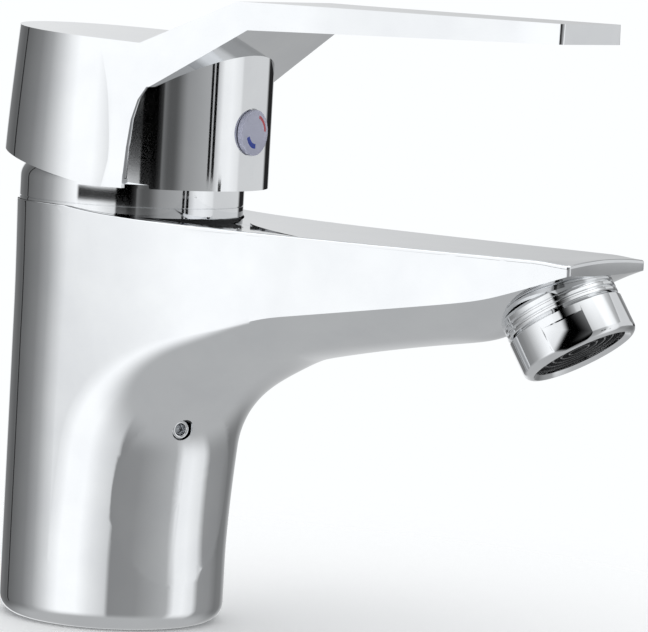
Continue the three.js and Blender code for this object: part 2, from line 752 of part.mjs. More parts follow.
function handle() {
  const fit = spindleSide / 2 + gap;
  const spindleHole = solid(leant(block(-fit, fit, -fit, fit, socketBlockBottom - 4, spindleTop + 0.6)));
  const drill = (radius, from, to, steps) => solid(alongX(rod(radius + gap, from, to, 0, 0, steps), badgeZ));
  const screwHole = drill(screwRadius, 0, badgeSeatX - 6, 16);
  const badgeHole = drill(badgeStemRadius, badgeSeatX - 8, badgeSeatX + 5, 20);
  const badgeSeat = drill(badgeRadius, badgeSeatX - badgeRecess, badgeSeatX + 5, 28);
  return geometryOf(cut(handleOutside(), rearCutter(), handleHollow(), spindleHole, screwHole, badgeHole,
    badgeSeat));
}

function setScrew() {
  const end = screwTipX + screwLength;
  const screw = solid(alongX(rod(screwRadius, screwTipX, end, 0, 0, 16), badgeZ));
  const hex = solid(alongX(rod(hexSocketRadius, end - hexSocketDepth, end + bite, 0, 0, 6), badgeZ));
  return geometryOf(screw.subtract(hex));
}

function indexBadge() {
  const face = badgeSeatX + badgeProud;
  const back = badgeSeatX - badgeRecess + gap;
  return alongX(turned([
    [0, back - badgeStemLength], [badgeStemRadius, back - badgeStemLength], [badgeStemRadius, back],
    [badgeRadius, back], [badgeRadius, face - 0.3], [badgeRadius - 0.3, face], [0, face],
  ], 32), badgeZ);
}

// ---------------------------------------------------------------- aerator
function aeratorHousing() {
  const bore = spigotRadius + gap;
  return turned([
    [aeratorMouthRadius, 0], [aeratorRadius - 1, 0], [aeratorRadius - 0.25, 0.8], [aeratorRadius, 2],
    [aeratorRadius, aeratorLength], [bore, aeratorLength], [bore, aeratorRim], [aeratorLipRadius, aeratorRim],
    [aeratorLipRadius, 0.8], [aeratorMouthRadius, 0],
  ]);
}

// a row of small round holes through a disc
function holeRow(radius, count, holeRadius, bottom, top) {
  return Array.from({ length: count }, (_, i) => {
    const angle = 2 * Math.PI * i / count;
    return solid(rod(holeRadius, bottom, top, radius * Math.cos(angle), radius * Math.sin(angle), 6));
  });
}

function aeratorInsert() {
  const outer = spigotRadius;
  const plate = solid(rod(outer, insertBottom + 0.6, insertBottom + insertPlate));
  const rib = (radius) => solid(tube(radius, radius + ribWidth, insertBottom, insertBottom + 1, 24));
  const rings = ribRadii.map(rib);
  const wall = solid(tube(outer - 1, outer, insertBottom, insertTop));
  const holes = ribRadii.flatMap((radius, row) => (
    holeRow(radius + ribWidth + 0.7, 2 * row + 6, jetHoleRadius, insertBottom - bite, insertTop)
  ));
  return geometryOf(cut(join(plate, wall, ...rings), ...holes));
}

function jetPlate() {
  const bottom = insertBottom + insertPlate + gap;
  const plate = solid(rod(spigotRadius - 1 - gap, bottom, bottom + 1, 0, 0, 32));
  return geometryOf(cut(plate, ...holeRow(6, 10, jetHoleRadius, bottom - bite, bottom + 3)));
}

function strainer() {
  const bottom = washerBottom;
  const outer = washerBore - gap;
  const sheet = 0.6;
  const crown = 2.2;
  const bowl = solid(turned([
    [0, bottom + crown], [outer - 3, bottom + crown - sheet], [outer - 1.2, bottom], [outer, bottom],
    [outer, bottom + sheet], [outer - 1, bottom + sheet], [outer - 2.8, bottom + crown + 0.1],
    [0, bottom + crown + sheet],
  ], 28));
  return geometryOf(cut(bowl, ...holeRow(3, 8, jetHoleRadius, bottom - bite, bottom + 5)));
}

function aeratorWasher() {
  return tube(washerBore, spigotRadius, washerBottom, washerBottom + washerThickness);
}

// ---------------------------------------------------------------- assembly
const model = new THREE.Group();

function add(name, geometry, material) {
  const mesh = new THREE.Mesh(geometry, material);
  mesh.name = name;
  model.add(mesh);
}

add('body_casting', bodyCasting(), materials.chrome());
add('chain_eyelet', chainEyelet(), materials.chrome());
add('base_gasket', baseGasket(), materials.rubber());
add('cartridge_base', cartridgeBase(), materials.whitePlastic());
for (const port of ports) add(`${port.name}_port_seal`, portSeal(port), materials.rubber());
add('fixed_disc', fixedDisc(), materials.ceramic());
add('moving_disc', movingDisc(), materials.ceramic());
add('disc_carrier', discCarrier(), materials.greyPlastic());
add('cartridge_housing', cartridgeHousing(), materials.whitePlastic());
add('cartridge_rotor', cartridgeRotor(), materials.greyPlastic());
add('rotor_seal', rotorSeal(), materials.rubber());
add('spindle', spindle(), materials.steel());
add('spindle_pin', spindlePin(), materials.steel());
add('retaining_nut', retainingNut(), materials.brass());
add('dome_ring', domeRing(), materials.chrome());
add('handle', handle(), materials.chrome());
add('handle_set_screw', setScrew(), materials.steel());
add('index_badge', indexBadge(), materials.badgePlastic());
add('aerator_housing', onAeratorAxis(aeratorHousing()), materials.chrome());
add('aerator_insert', onAeratorAxis(aeratorInsert()), materials.greyPlastic());
add('aerator_jet_plate', onAeratorAxis(jetPlate()), materials.whitePlastic());
add('aerator_strainer', onAeratorAxis(strainer()), materials.steel());
add('aerator_washer', onAeratorAxis(aeratorWasher()), materials.rubber());

export default model;
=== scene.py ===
import json
import math

import bmesh
import bpy
import numpy as np
from mathutils import Matrix, Vector
from mathutils.bvhtree import BVHTree


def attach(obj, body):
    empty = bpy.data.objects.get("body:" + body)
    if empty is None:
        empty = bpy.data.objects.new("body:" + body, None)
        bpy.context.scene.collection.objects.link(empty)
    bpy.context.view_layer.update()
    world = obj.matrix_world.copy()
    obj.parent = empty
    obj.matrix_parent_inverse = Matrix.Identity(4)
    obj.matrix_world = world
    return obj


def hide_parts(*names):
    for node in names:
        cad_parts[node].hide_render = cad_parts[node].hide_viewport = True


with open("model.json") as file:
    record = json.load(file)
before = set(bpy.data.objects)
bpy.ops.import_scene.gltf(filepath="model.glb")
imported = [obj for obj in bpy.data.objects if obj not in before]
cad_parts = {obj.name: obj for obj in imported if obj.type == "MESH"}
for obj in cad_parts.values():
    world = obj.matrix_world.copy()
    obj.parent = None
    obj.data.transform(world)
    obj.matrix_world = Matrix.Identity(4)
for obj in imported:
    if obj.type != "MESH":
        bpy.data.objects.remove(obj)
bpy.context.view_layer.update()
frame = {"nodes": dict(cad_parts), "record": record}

mm = 0.001
gap = 0.3                # clearance between neighbouring pieces, in millimetres

# camera
cameraSet = {
    "azimuth": 32.617,       # degrees round the object
    "elevation": 5.332,
    "roll": 3.213,
    "distance": 0.95,
    "target": (0.050689, 0.0, 0.069875),
    "lens": 252,
}


def makeCamera(values):
    azimuth, elevation, roll = (math.radians(values[k]) for k in ("azimuth", "elevation", "roll"))
    flat = math.cos(elevation)
    back = Vector((math.sin(azimuth) * flat, -math.cos(azimuth) * flat, math.sin(elevation)))
    right = Vector((math.cos(azimuth), math.sin(azimuth), 0))
    up = back.cross(right)
    camX = right * math.cos(roll) + up * math.sin(roll)
    camY = up * math.cos(roll) - right * math.sin(roll)
    data = bpy.data.cameras.new("camera")
    data.lens = values["lens"]
    data.clip_start, data.clip_end = 0.05, 20
    camera = bpy.data.objects.new("camera", data)
    bpy.context.scene.collection.objects.link(camera)
    turn = Matrix((camX, camY, back)).transposed().to_4x4()
    camera.matrix_world = Matrix.Translation(Vector(values["target"]) + back * values["distance"]) @ turn
    bpy.context.scene.camera = camera


makeCamera(cameraSet)
print("camera placed")


# mesh helpers, all in millimetres until the mesh is made
def meshObject(name, points, faces):
    mesh = bpy.data.meshes.new(name)
    mesh.from_pydata([tuple(p) for p in np.asarray(points, float) * mm], [], faces)
    obj = bpy.data.objects.new(name, mesh)
    bpy.context.scene.collection.objects.link(obj)
    return obj


def cleaned(obj, merge=0.001):
    bm = bmesh.new()
    bm.from_mesh(obj.data)
    bmesh.ops.remove_doubles(bm, verts=bm.verts, dist=merge * mm)
    bmesh.ops.dissolve_degenerate(bm, edges=bm.edges, dist=1e-7)
    bmesh.ops.recalc_face_normals(bm, faces=bm.faces)
    bm.to_mesh(obj.data)
    bm.free()
    return obj


def turned(name, profile, steps=128, close=False):
    angles = [2 * math.pi * i / steps for i in range(steps)]
    points = [(r * math.cos(a), r * math.sin(a), z) for r, z in profile for a in angles]
    count = len(profile)
    faces = []
    for i in range(count if close else count - 1):
        for j in range(steps):
            k = (j + 1) % steps
            below, above = i * steps, (i + 1) % count * steps
            faces.append((below + j, below + k, above + k, above + j))
    return cleaned(meshObject(name, points, faces))


def rod(name, radius, bottom, top, steps=96):
    return turned(name, [(0, bottom), (radius, bottom), (radius, top), (0, top)], steps)


def prism(name, outline, low, high, place):
    count = len(outline)
    points = [place(a, b, low) for a, b in outline] + [place(a, b, high) for a, b in outline]
    faces = [tuple(range(count)), tuple(range(2 * count - 1, count - 1, -1))]
    faces += [(i, (i + 1) % count, count + (i + 1) % count, count + i) for i in range(count)]
    return cleaned(meshObject(name, points, faces))


def sidePrism(name, outline, halfWidth):
    return prism(name, outline, -halfWidth, halfWidth, lambda x, z, y: (x, y, z))


def planPrism(name, outline, low, high):
    return prism(name, outline, low, high, lambda x, y, z: (x, y, z))


def placed(obj, matrix):
    obj.data.transform(matrix)
    return obj


def moved(x=0, y=0, z=0):
    return Matrix.Translation((x * mm, y * mm, z * mm))


def applied(obj):
    depsgraph = bpy.context.evaluated_depsgraph_get()
    mesh = bpy.data.meshes.new_from_object(obj.evaluated_get(depsgraph))
    obj.modifiers.clear()
    obj.data = mesh
    return obj


def boolean(obj, tool, operation):
    modifier = obj.modifiers.new("cut", "BOOLEAN")
    modifier.operation = operation
    modifier.solver = "EXACT"
    modifier.object = tool
    applied(obj)
    bpy.data.objects.remove(tool)
    return obj


def cut(obj, *tools):
    for tool in tools:
        boolean(obj, tool, "DIFFERENCE")
    return obj


def join(obj, *tools):
    for tool in tools:
        boolean(obj, tool, "UNION")
    return obj


def softEdges(obj, width, angle=38, segments=2):
    modifier = obj.modifiers.new("edges", "BEVEL")
    modifier.width = width * mm
    modifier.segments = segments
    modifier.limit_method = "ANGLE"
    modifier.angle_limit = math.radians(angle)
    modifier.miter_outer = "MITER_ARC"
    return applied(obj)


def shaded(obj, angle=24):
    bm = bmesh.new()
    bm.from_mesh(obj.data)
    for face in bm.faces:
        face.smooth = True
    for edge in bm.edges:
        edge.smooth = edge.calc_face_angle(0) < math.radians(angle)
    bm.to_mesh(obj.data)
    bm.free()
    return obj


def smoothstep(value, low, high):
    t = min(max((value - low) / (high - low), 0), 1)
    return t * t * (3 - 2 * t)


def softMax(a, b, blend):
    return 0.5 * (a + b + math.hypot(a - b, blend))


# body casting
body = {
    "columnRadius": 24.2,
    "columnFlare": 0.7,
    "flareStart": 58,
    "footFillet": 4,
    "frontBulgeStart": 14,
    "frontBulge": 1.7,
    "throatX": 52,
    "throatZ": 38,
    "throatWaves": (24.175, 1.6, 0.325, -2.05, 0.325),     # mean, cos 2a, cos 4a, sin 2a, sin 4a
    "rearTop": 89.7,
    "spoutTop": 87.6,
    "topFade": 14,           # length over which the rear height fades into the spout
    "tipX": 117.7,
    "tipHalfWidth": 15.5,
    "tipThickness": 2.6,
    "tipRound": 0.8,
    "tipCrown": 0.5,
    "tipCrownLength": 8,
    "tipRamp": 0.648,
    "undersideRise": 0.24,
    "undersideCurve": 0.00134,
    "creaseDrop": 9.8,
    "creaseRise": 0.16,
    "creaseTip": 0.364,
    "edgeRound": 0.45,
    "columnsAcross": 10,
    "chamber": 17.6,         # radius of the cartridge's room
    "chamberFloor": 60,
    "nutShelf": 84,
    "nutRoom": 20.6,
    "inletRadius": 4.6,
    "inletX": -3,
    "inletY": 6.5,
    "studRadius": 3.4,
    "studX": -12.5,
    "gasketGroove": (16.9, 19.5, 2.5),       # inner radius, outer radius, depth
    "waterway": 8.6,
}


def columnRadiusAt(z):
    b = body
    foot = min(max(z, 0), b["footFillet"])
    inset = b["footFillet"] - math.sqrt(b["footFillet"] ** 2 - (b["footFillet"] - foot) ** 2)
    return b["columnRadius"] - inset + b["columnFlare"] * smoothstep(z, b["flareStart"], b["rearTop"])


def columnFrontAt(z):
    b = body
    t = max(0, (z - b["frontBulgeStart"]) / (b["throatZ"] - b["frontBulgeStart"]))
    return columnRadiusAt(z) + b["frontBulge"] * t ** 1.5


def throatRadiusAt(angle):
    mean, cos2, cos4, sin2, sin4 = body["throatWaves"]
    return (mean + cos2 * math.cos(2 * angle) + cos4 * math.cos(4 * angle)
            + sin2 * math.sin(2 * angle) + sin4 * math.sin(4 * angle))


def keelAt(x):
    b = body
    run = x - b["throatX"]
    curve = (b["throatZ"] + throatRadiusAt(math.pi / 2)
             + b["undersideRise"] * run - b["undersideCurve"] * run ** 2)
    ramp = b["spoutTop"] - b["tipThickness"] - 0.4 - b["tipRamp"] * (b["tipX"] - x)
    return softMax(curve, ramp, 1.5)


def creaseAt(x):
    b = body
    line = b["throatZ"] + throatRadiusAt(math.pi / 2) + b["creaseDrop"] + b["creaseRise"] * (x - b["throatX"])
    tipLine = b["spoutTop"] - b["tipThickness"] - b["creaseTip"] * (b["tipX"] - x)
    return softMax(line, tipLine, 1)


def planHalfWidth(x, radius):
    b = body
    fall = (radius - b["tipHalfWidth"]) / b["tipX"]
    tangent = radius * math.sin(math.atan(fall))
    if x < tangent:
        return math.sqrt(max(0, radius ** 2 - x ** 2))
    width = math.sqrt(radius ** 2 - tangent ** 2) - fall * (x - tangent)
    into = max(0, x - (b["tipX"] - b["tipRound"]))
    return width - b["tipRound"] + math.sqrt(max(0, b["tipRound"] ** 2 - into ** 2))


def topEdgeAt(x):
    b = body
    crown = smoothstep(x, b["tipX"] - b["tipCrownLength"], b["tipX"])
    rear = (b["rearTop"] - b["spoutTop"]) * math.exp(-max(x, 0) / b["topFade"])
    return b["spoutTop"] + rear - b["tipCrown"] * crown


# half of one section, from the keel on the middle plane round the side to the back
def halfSection(ox, oz, dx, dz, inner, rise, spread, sweep):
    arcSteps, sideSteps, backSteps, capZ = 30, 14, 24, 105

    def halfWidth(x, z):
        radius = columnRadiusAt(z)
        return radius + (planHalfWidth(max(x, 0), radius) - radius) * spread

    def at(u):
        return ox + dx * u, oz + dz * u

    toAxis = -ox / dx if dx < -1e-6 else math.inf
    toCap = (capZ - oz) / dz if dz > 1e-6 else math.inf
    sideEnd = max(min(toAxis, toCap), inner + rise)
    points = []
    widest = halfWidth(*at(inner + rise))
    for i in range(arcSteps + 1):
        alpha = sweep * i / arcSteps
        x, z = at(inner + rise * (1 - math.cos(alpha)) / (1 - math.cos(sweep)))
        points.append((x, -widest * math.sin(alpha) / math.sin(sweep), z))
    for i in range(1, sideSteps + 1):
        x, z = at(inner + rise + (sideEnd - inner - rise) * i / sideSteps)
        points.append((x, -halfWidth(x, z), z))
    endWidth, endZ = -points[-1][1], points[-1][2]
    depth = columnRadiusAt(endZ) / -dx if toAxis <= toCap else 3
    for i in range(1, backSteps + 1):
        beta = math.pi / 2 * i / backSteps
        x, z = at(sideEnd + depth * math.sin(beta))
        points.append((x, -endWidth * math.cos(beta), z))
    return points


def halfBodyRows():
    b = body
    foot = [b["footFillet"] * (1 - math.cos(math.pi / 2 * i / 8)) for i in range(9)]
    heights = foot + [b["footFillet"] + (b["throatZ"] - b["footFillet"]) * i / 22 for i in range(1, 22)]
    rows = [halfSection(b["throatX"], z, -1, 0, b["throatX"] - columnFrontAt(z), columnRadiusAt(z), 0,
                        math.pi / 2) for z in heights]
    bendSteps = 64
    for i in range(bendSteps + 1):
        angle = math.pi / 2 * i / bendSteps
        rise = b["creaseDrop"] + (b["columnRadius"] - b["creaseDrop"]) * math.cos(angle) ** 3
        rows.append(halfSection(b["throatX"], b["throatZ"], -math.cos(angle), math.sin(angle),
                                throatRadiusAt(angle), rise, math.sin(angle) ** 2,
                                math.radians(90 - 12 * math.sin(angle) ** 4)))
    straight = list(np.linspace(b["throatX"], b["tipX"] - b["tipRound"], 76)[1:])
    rounding = [b["tipX"] - b["tipRound"] * (1 - math.sin(math.pi / 2 * i / 6)) for i in range(1, 7)]
    for x in straight + rounding:
        near = smoothstep(x, b["throatX"], 80)
        rows.append(halfSection(x, b["throatZ"], 0, 1, keelAt(x) - b["throatZ"], creaseAt(x) - keelAt(x), 1,
                                math.radians(78 - 18 * near)))
    return rows


# fills the space between a chain of vertices and the middle plane with rows of quads
def fillToMiddle(bm, chain, across, heightAt):
    grid = []
    for vert in chain:
        x, y = vert.co.x, vert.co.y
        row = [vert]
        for j in range(1, across + 1):
            yj = y * (1 - j / across)
            row.append(bm.verts.new((x, yj, heightAt(vert.co, yj))))
        grid.append(row)
    for a, b in zip(grid, grid[1:]):
        for j in range(across):
            bm.faces.new((a[j], a[j + 1], b[j + 1], b[j]))
    return grid


def halfBody():
    b = body
    rows = halfBodyRows()
    count = len(rows[0])
    bm = bmesh.new()
    grid = [[bm.verts.new(Vector(p) * mm) for p in row] for row in rows]
    for low, high in zip(grid, grid[1:]):
        for j in range(count - 1):
            bm.faces.new((low[j], low[j + 1], high[j + 1], high[j]))
    fillToMiddle(bm, grid[0], 4, lambda co, y: co.z)
    across = b["columnsAcross"]
    tip = [[v] for v in grid[-1]]
    for row in tip:
        co = row[0].co
        row += [bm.verts.new((co.x, co.y * (1 - j / across), co.z)) for j in range(1, across + 1)]
    for low, high in zip(tip, tip[1:]):
        for j in range(across):
            bm.faces.new((low[j], low[j + 1], high[j + 1], high[j]))
    bmesh.ops.remove_doubles(bm, verts=bm.verts, dist=1e-6)
    return bm


# trims the half body at its top profile and closes it with a rounded edge and a top face
def trimTop(bm):
    b = body
    radius = b["edgeRound"] * mm
    for v in bm.verts:
        v.co.z -= topEdgeAt(v.co.x / mm) * mm
    support = -radius - 0.3 * mm      # a line just under the rim, which keeps the side's shading true
    for height, clear in ((support, False), (-radius, True)):
        everything = list(bm.verts) + list(bm.edges) + list(bm.faces)
        bmesh.ops.bisect_plane(bm, geom=everything, dist=1e-6, plane_co=(0, 0, height), plane_no=(0, 0, 1),
                               clear_outer=clear)
    near = [v for v in bm.verts if abs(v.co.z + radius) < 2e-6]
    bmesh.ops.remove_doubles(bm, verts=near, dist=2e-5)
    rim = [e for e in bm.edges if len(e.link_faces) == 1 and all(abs(v.co.z + radius) < 2e-6 for v in e.verts)
           and not all(abs(v.co.y) < 1e-6 for v in e.verts)]
    links = {}
    for e in rim:
        for v in e.verts:
            links.setdefault(v, []).append(e)
    ends = sorted((v for v, es in links.items() if len(es) == 1), key=lambda v: v.co.x)
    chain, used = [ends[0]], set()
    while True:
        following = [e for e in links[chain[-1]] if e not in used]
        if not following:
            break
        used.add(following[0])
        chain.append(following[0].other_vert(chain[-1]))
    flat = np.array([(v.co.x, v.co.y) for v in chain])
    step = np.gradient(flat, axis=0)
    inward = np.stack([-step[:, 1], step[:, 0]], 1)
    inward /= np.linalg.norm(inward, axis=1)[:, None]
    inward[0], inward[-1] = (1, 0), (-1, 0)
    strips = [chain]
    steps = 6
    for k in range(1, steps + 1):
        turn = math.pi / 2 * k / steps
        shift = radius * (1 - math.cos(turn))
        height = -radius + radius * math.sin(turn)
        strips.append([bm.verts.new((x + nx * shift, y + ny * shift, height))
                       for (x, y), (nx, ny) in zip(flat, inward)])
    for outer, inner in zip(strips, strips[1:]):
        for i in range(len(chain) - 1):
            bm.faces.new((outer[i], outer[i + 1], inner[i + 1], inner[i]))
    across = b["columnsAcross"]
    last = strips[-1]
    side, front = last[:-across], last[-across - 1:]
    grid = []
    for vert in side[:-1]:
        row = [vert]
        row += [bm.verts.new((vert.co.x, vert.co.y * (1 - j / across), 0)) for j in range(1, across + 1)]
        grid.append(row)
    grid.append(front)
    for a, c in zip(grid, grid[1:]):
        for j in range(across):
            bm.faces.new((a[j], a[j + 1], c[j + 1], c[j]))
    for v in bm.verts:
        x = v.co.x / mm
        crown = smoothstep(x, b["tipX"] - b["tipCrownLength"], b["tipX"])
        width = planHalfWidth(max(x, 0), columnRadiusAt(b["spoutTop"]))
        share = min(abs(v.co.y / mm) / max(width, 1), 1)
        low = smoothstep(v.co.z / mm, -b["tipThickness"], 0)
        v.co.z += (topEdgeAt(x) + 1.5 * b["tipCrown"] * crown * (1 - share ** 2) * low) * mm
    return bm


# the lower ground around the ring, bounded by the tongue of the flat spout top
dish = {"tongueTip": 31, "tongueEnd": 57.7, "tongueHalf": 20.6, "depth": 0.8, "curve": 0.78}


def dishTool(side):
    d = dish
    xs = np.concatenate([np.linspace(-34, d["tongueTip"], 14)[:-1], d["tongueTip"] +
                         (d["tongueEnd"] - d["tongueTip"]) * np.linspace(0, 1, 48) ** 1.6])
    across = 10
    lower, upper = [], []
    for x in xs:
        t = max(0, (x - d["tongueTip"]) / (d["tongueEnd"] - d["tongueTip"]))
        inner = d["tongueHalf"] * t ** d["curve"] if t > 0 else -0.5
        outer = d["tongueHalf"] + 8
        rim = planHalfWidth(max(x, 0), columnRadiusAt(body["spoutTop"]))
        for j in range(across + 1):
            y = inner + (outer - inner) * j / across
            fade = max(0, 1 - max(y, 0) / max(rim, 1)) ** 0.8 * (1 - 0.85 * t)
            lower.append((x, side * y, topEdgeAt(x) - d["depth"] * fade))
            upper.append((x, side * y, body["rearTop"] + 4))
    n, m = len(xs), across + 1
    points = lower + upper
    off = n * m
    faces = []
    for i in range(n - 1):
        for j in range(across):
            a, b, c, e = i * m + j, i * m + j + 1, (i + 1) * m + j + 1, (i + 1) * m + j
            faces += [(a, b, c, e), (off + e, off + c, off + b, off + a)]
    for i in range(n - 1):
        for j in (0, across):
            a, b = i * m + j, (i + 1) * m + j
            faces.append((a, b, off + b, off + a))
    for j in range(across):
        for i in (0, n - 1):
            a, b = i * m + j, i * m + j + 1
            faces.append((a, b, off + b, off + a))
    return cleaned(meshObject("dishTool", points, faces))


# the shallow oval facet on the front of the column
facet = {"azimuth": -21, "halfSpan": 36, "height": 28.6, "halfHeight": 19, "depth": 0.75}


def facetTool(target):
    f = facet
    tree = BVHTree.FromObject(target, bpy.context.evaluated_depsgraph_get())
    rings, steps, reach = 14, 96, 1.12

    def pointAt(angle, share):
        azimuth = math.radians(f["azimuth"] + f["halfSpan"] * share * math.cos(angle))
        z = f["height"] + f["halfHeight"] * share * math.sin(angle)
        ray = Vector((math.cos(azimuth), math.sin(azimuth), 0))
        hit = tree.ray_cast(Vector((0, 0, z * mm)) + ray * 0.2, -ray)[0]
        radius = Vector((hit.x, hit.y)).length / mm
        return ray, z, radius

    inner, outer = [], []
    for k in range(1, rings + 1):
        share = reach * k / rings
        for i in range(steps):
            ray, z, radius = pointAt(2 * math.pi * i / steps, share)
            inside = radius - f["depth"] * (1 - share ** 2)
            inner.append((ray.x * inside, ray.y * inside, z))
            outer.append((ray.x * (radius + 3), ray.y * (radius + 3), z))
    ray, z, radius = pointAt(0, 0)
    inner.append((ray.x * (radius - f["depth"]), ray.y * (radius - f["depth"]), z))
    outer.append((ray.x * (radius + 3), ray.y * (radius + 3), z))
    off = len(inner)
    faces = []
    for k in range(rings - 1):
        for i in range(steps):
            j = (i + 1) % steps
            a, b, c, e = k * steps + i, k * steps + j, (k + 1) * steps + j, (k + 1) * steps + i
            faces += [(a, b, c, e), (off + e, off + c, off + b, off + a)]
    for i in range(steps):
        j = (i + 1) % steps
        faces += [(off - 1, j, i), (2 * off - 1, off + i, off + j)]
        a, b = (rings - 1) * steps + i, (rings - 1) * steps + j
        faces.append((a, b, off + b, off + a))
    return cleaned(meshObject("facetTool", inner + outer, faces))


# aerator: sleeve, collar on the spout, insert
aerator = {
    "tilt": 32.9,
    "x": 113.1,
    "z": 67.8,
    "radius": 12.36,
    "length": 8.4,
    "mouth": 10.5,
    "lip": 9.9,
    "rim": 1.1,
    "lipRound": 1.6,
    "spigot": 10.7,
    "collarRadius": 12.2,
    "collarLength": 4,
    "grooveDepth": 0.5,
    "flatReach": 11.55,      # wrench flat, from the axis
    "flatHeight": 4.2,
    "flatTurns": (-64, 116),
    "ribs": (1.9, 3.7, 5.5, 7.3),
    "ribWidth": 0.55,
    "jet": 0.42,
}


def aeratorPlace():
    a = aerator
    return moved(a["x"], 0, a["z"]) @ Matrix.Rotation(-math.radians(a["tilt"]), 4, "Y")


def collarTool():
    a = aerator
    bottom, top = a["length"] + 0.5, a["length"] + 0.5 + a["collarLength"]
    r, g = a["collarRadius"], a["collarRadius"] - a["grooveDepth"]
    profile = [(0, bottom), (r - 0.2, bottom), (r, bottom + 0.2)]
    for foot in (bottom + 0.7, bottom + 1.9):
        profile += [(r, foot), (r - 0.1, foot + 0.08), (g, foot + 0.12), (g, foot + 0.5),
                    (r - 0.1, foot + 0.54), (r, foot + 0.62)]
    profile += [(r, top - 0.6), (r - 0.3, top), (0, top)]
    return placed(turned("collarTool", profile, 160), aeratorPlace())


def makeBody():
    b, a = body, aerator
    bm = trimTop(halfBody())
    mesh = bpy.data.meshes.new("body_shell")
    bm.to_mesh(mesh)
    bm.free()
    obj = bpy.data.objects.new("body_shell", mesh)
    bpy.context.scene.collection.objects.link(obj)
    mirror = obj.modifiers.new("mirror", "MIRROR")
    mirror.use_axis = (False, True, False)
    mirror.merge_threshold = 2e-6
    cleaned(applied(obj))
    seat, ringFloor = b["columnRadius"] + 0.2, b["spoutTop"] - dish["depth"]
    floor, shelf = b["chamberFloor"], b["nutShelf"]
    well = turned("well", [(0, floor), (b["chamber"], floor), (b["chamber"], shelf), (b["nutRoom"], shelf),
                           (b["nutRoom"], ringFloor), (seat, ringFloor), (seat, 100), (0, 100)], 192)
    holes = [placed(rod("inlet", b["inletRadius"], -1, 14, 64), moved(b["inletX"], side * b["inletY"]))
             for side in (-1, 1)]
    holes.append(placed(rod("stud", b["studRadius"], -1, 18, 64), moved(b["studX"])))
    low, high, depth = b["gasketGroove"]
    holes.append(turned("groove", [(low, -1), (high, -1), (high, depth), (low, depth)], 128, close=True))
    cut(obj, facetTool(obj))
    for side in (-1, 1):
        cut(obj, dishTool(side))
    cut(obj, well)
    join(obj, collarTool(), placed(rod("spigot", a["spigot"], 5.8, 12, 96), aeratorPlace()))
    socket = rod("eyeletHole", eyelet["radius"] + gap, -eyelet["length"] - gap, 8, 48)
    noseBore = rod("noseBore", b["waterway"], 4, 10, 64)
    cut(obj, placed(noseBore, aeratorPlace()), eyeletPlaced(socket), *holes)
    return shaded(cleaned(obj, 0.004), 19)


# chain eyelet
eyelet = {"height": 43.6, "azimuth": -25, "radius": 2, "bore": 1.25, "length": 5, "inset": 0.6,
          "lipRound": 0.35}


def eyeletPlaced(obj):
    e = eyelet
    place = (moved(0, 0, e["height"]) @ Matrix.Rotation(math.radians(e["azimuth"]), 4, "Z")
             @ moved(columnFrontAt(e["height"]) - e["inset"]) @ Matrix.Rotation(math.pi / 2, 4, "Y"))
    return placed(obj, place)


def roundedCorner(cx, cz, radius, start, end, steps=5):
    angles = [math.radians(start + (end - start) * i / steps) for i in range(steps + 1)]
    return [(cx + radius * math.cos(t), cz + radius * math.sin(t)) for t in angles]


def makeEyelet():
    e = eyelet
    round_ = e["lipRound"]
    profile = [(e["bore"], -e["length"]), (e["radius"], -e["length"])]
    profile += roundedCorner(e["radius"] - round_, -round_, round_, 0, 90)
    profile += roundedCorner(e["bore"] + round_, -round_, round_, 90, 180)
    return shaded(eyeletPlaced(turned("eyelet_bush", profile, 64, close=True)))


# dome ring
ring = {"bottom": 87.9, "radius": 24.1, "shoulder": 94, "bend": 94.2, "top": 98, "dome": 1.2, "edge": 0.6,
        "wall": 1.6, "step": 90.2, "stepDepth": 0.18, "hole": 17.1}


def makeRing():
    r = ring
    inner = r["radius"] - r["wall"]
    topRadius = r["radius"] - r["dome"]
    profile = [(inner, r["bottom"]), (r["radius"] - 0.2, r["bottom"]), (r["radius"], r["bottom"] + 0.2),
               (r["radius"], r["step"] - 0.12), (r["radius"] - r["stepDepth"], r["step"] - 0.06),
               (r["radius"] - r["stepDepth"], r["step"] + 0.06), (r["radius"], r["step"] + 0.12)]
    for i in range(9):
        t = i / 8
        z = r["bend"] + (r["top"] - r["edge"] - r["bend"]) * t
        profile.append((r["radius"] - r["dome"] * t ** 2.2, z))
    profile += roundedCorner(topRadius - r["edge"], r["top"] - r["edge"], r["edge"], 15, 90)
    profile += [(r["hole"], r["top"]), (r["hole"], r["top"] - r["wall"]),
                (inner - r["dome"], r["top"] - r["wall"]), (inner, r["shoulder"])]
    return shaded(turned("trim_ring", profile, 192, close=True))


# a black rubber band filling the gap under the ring's lower edge: painted shade, standing in for the shadow
# between the ring and the dish below it
def makeRingGapShade():
    bottom, top = body["spoutTop"] - dish["depth"] + 0.05, ring["bottom"] - 0.05
    outer = ring["radius"] - 0.35
    profile = [(outer - 3, bottom), (outer, bottom), (outer, top), (outer - 3, top)]
    return shaded(turned("ring_gap_shade", profile, 192, close=True))


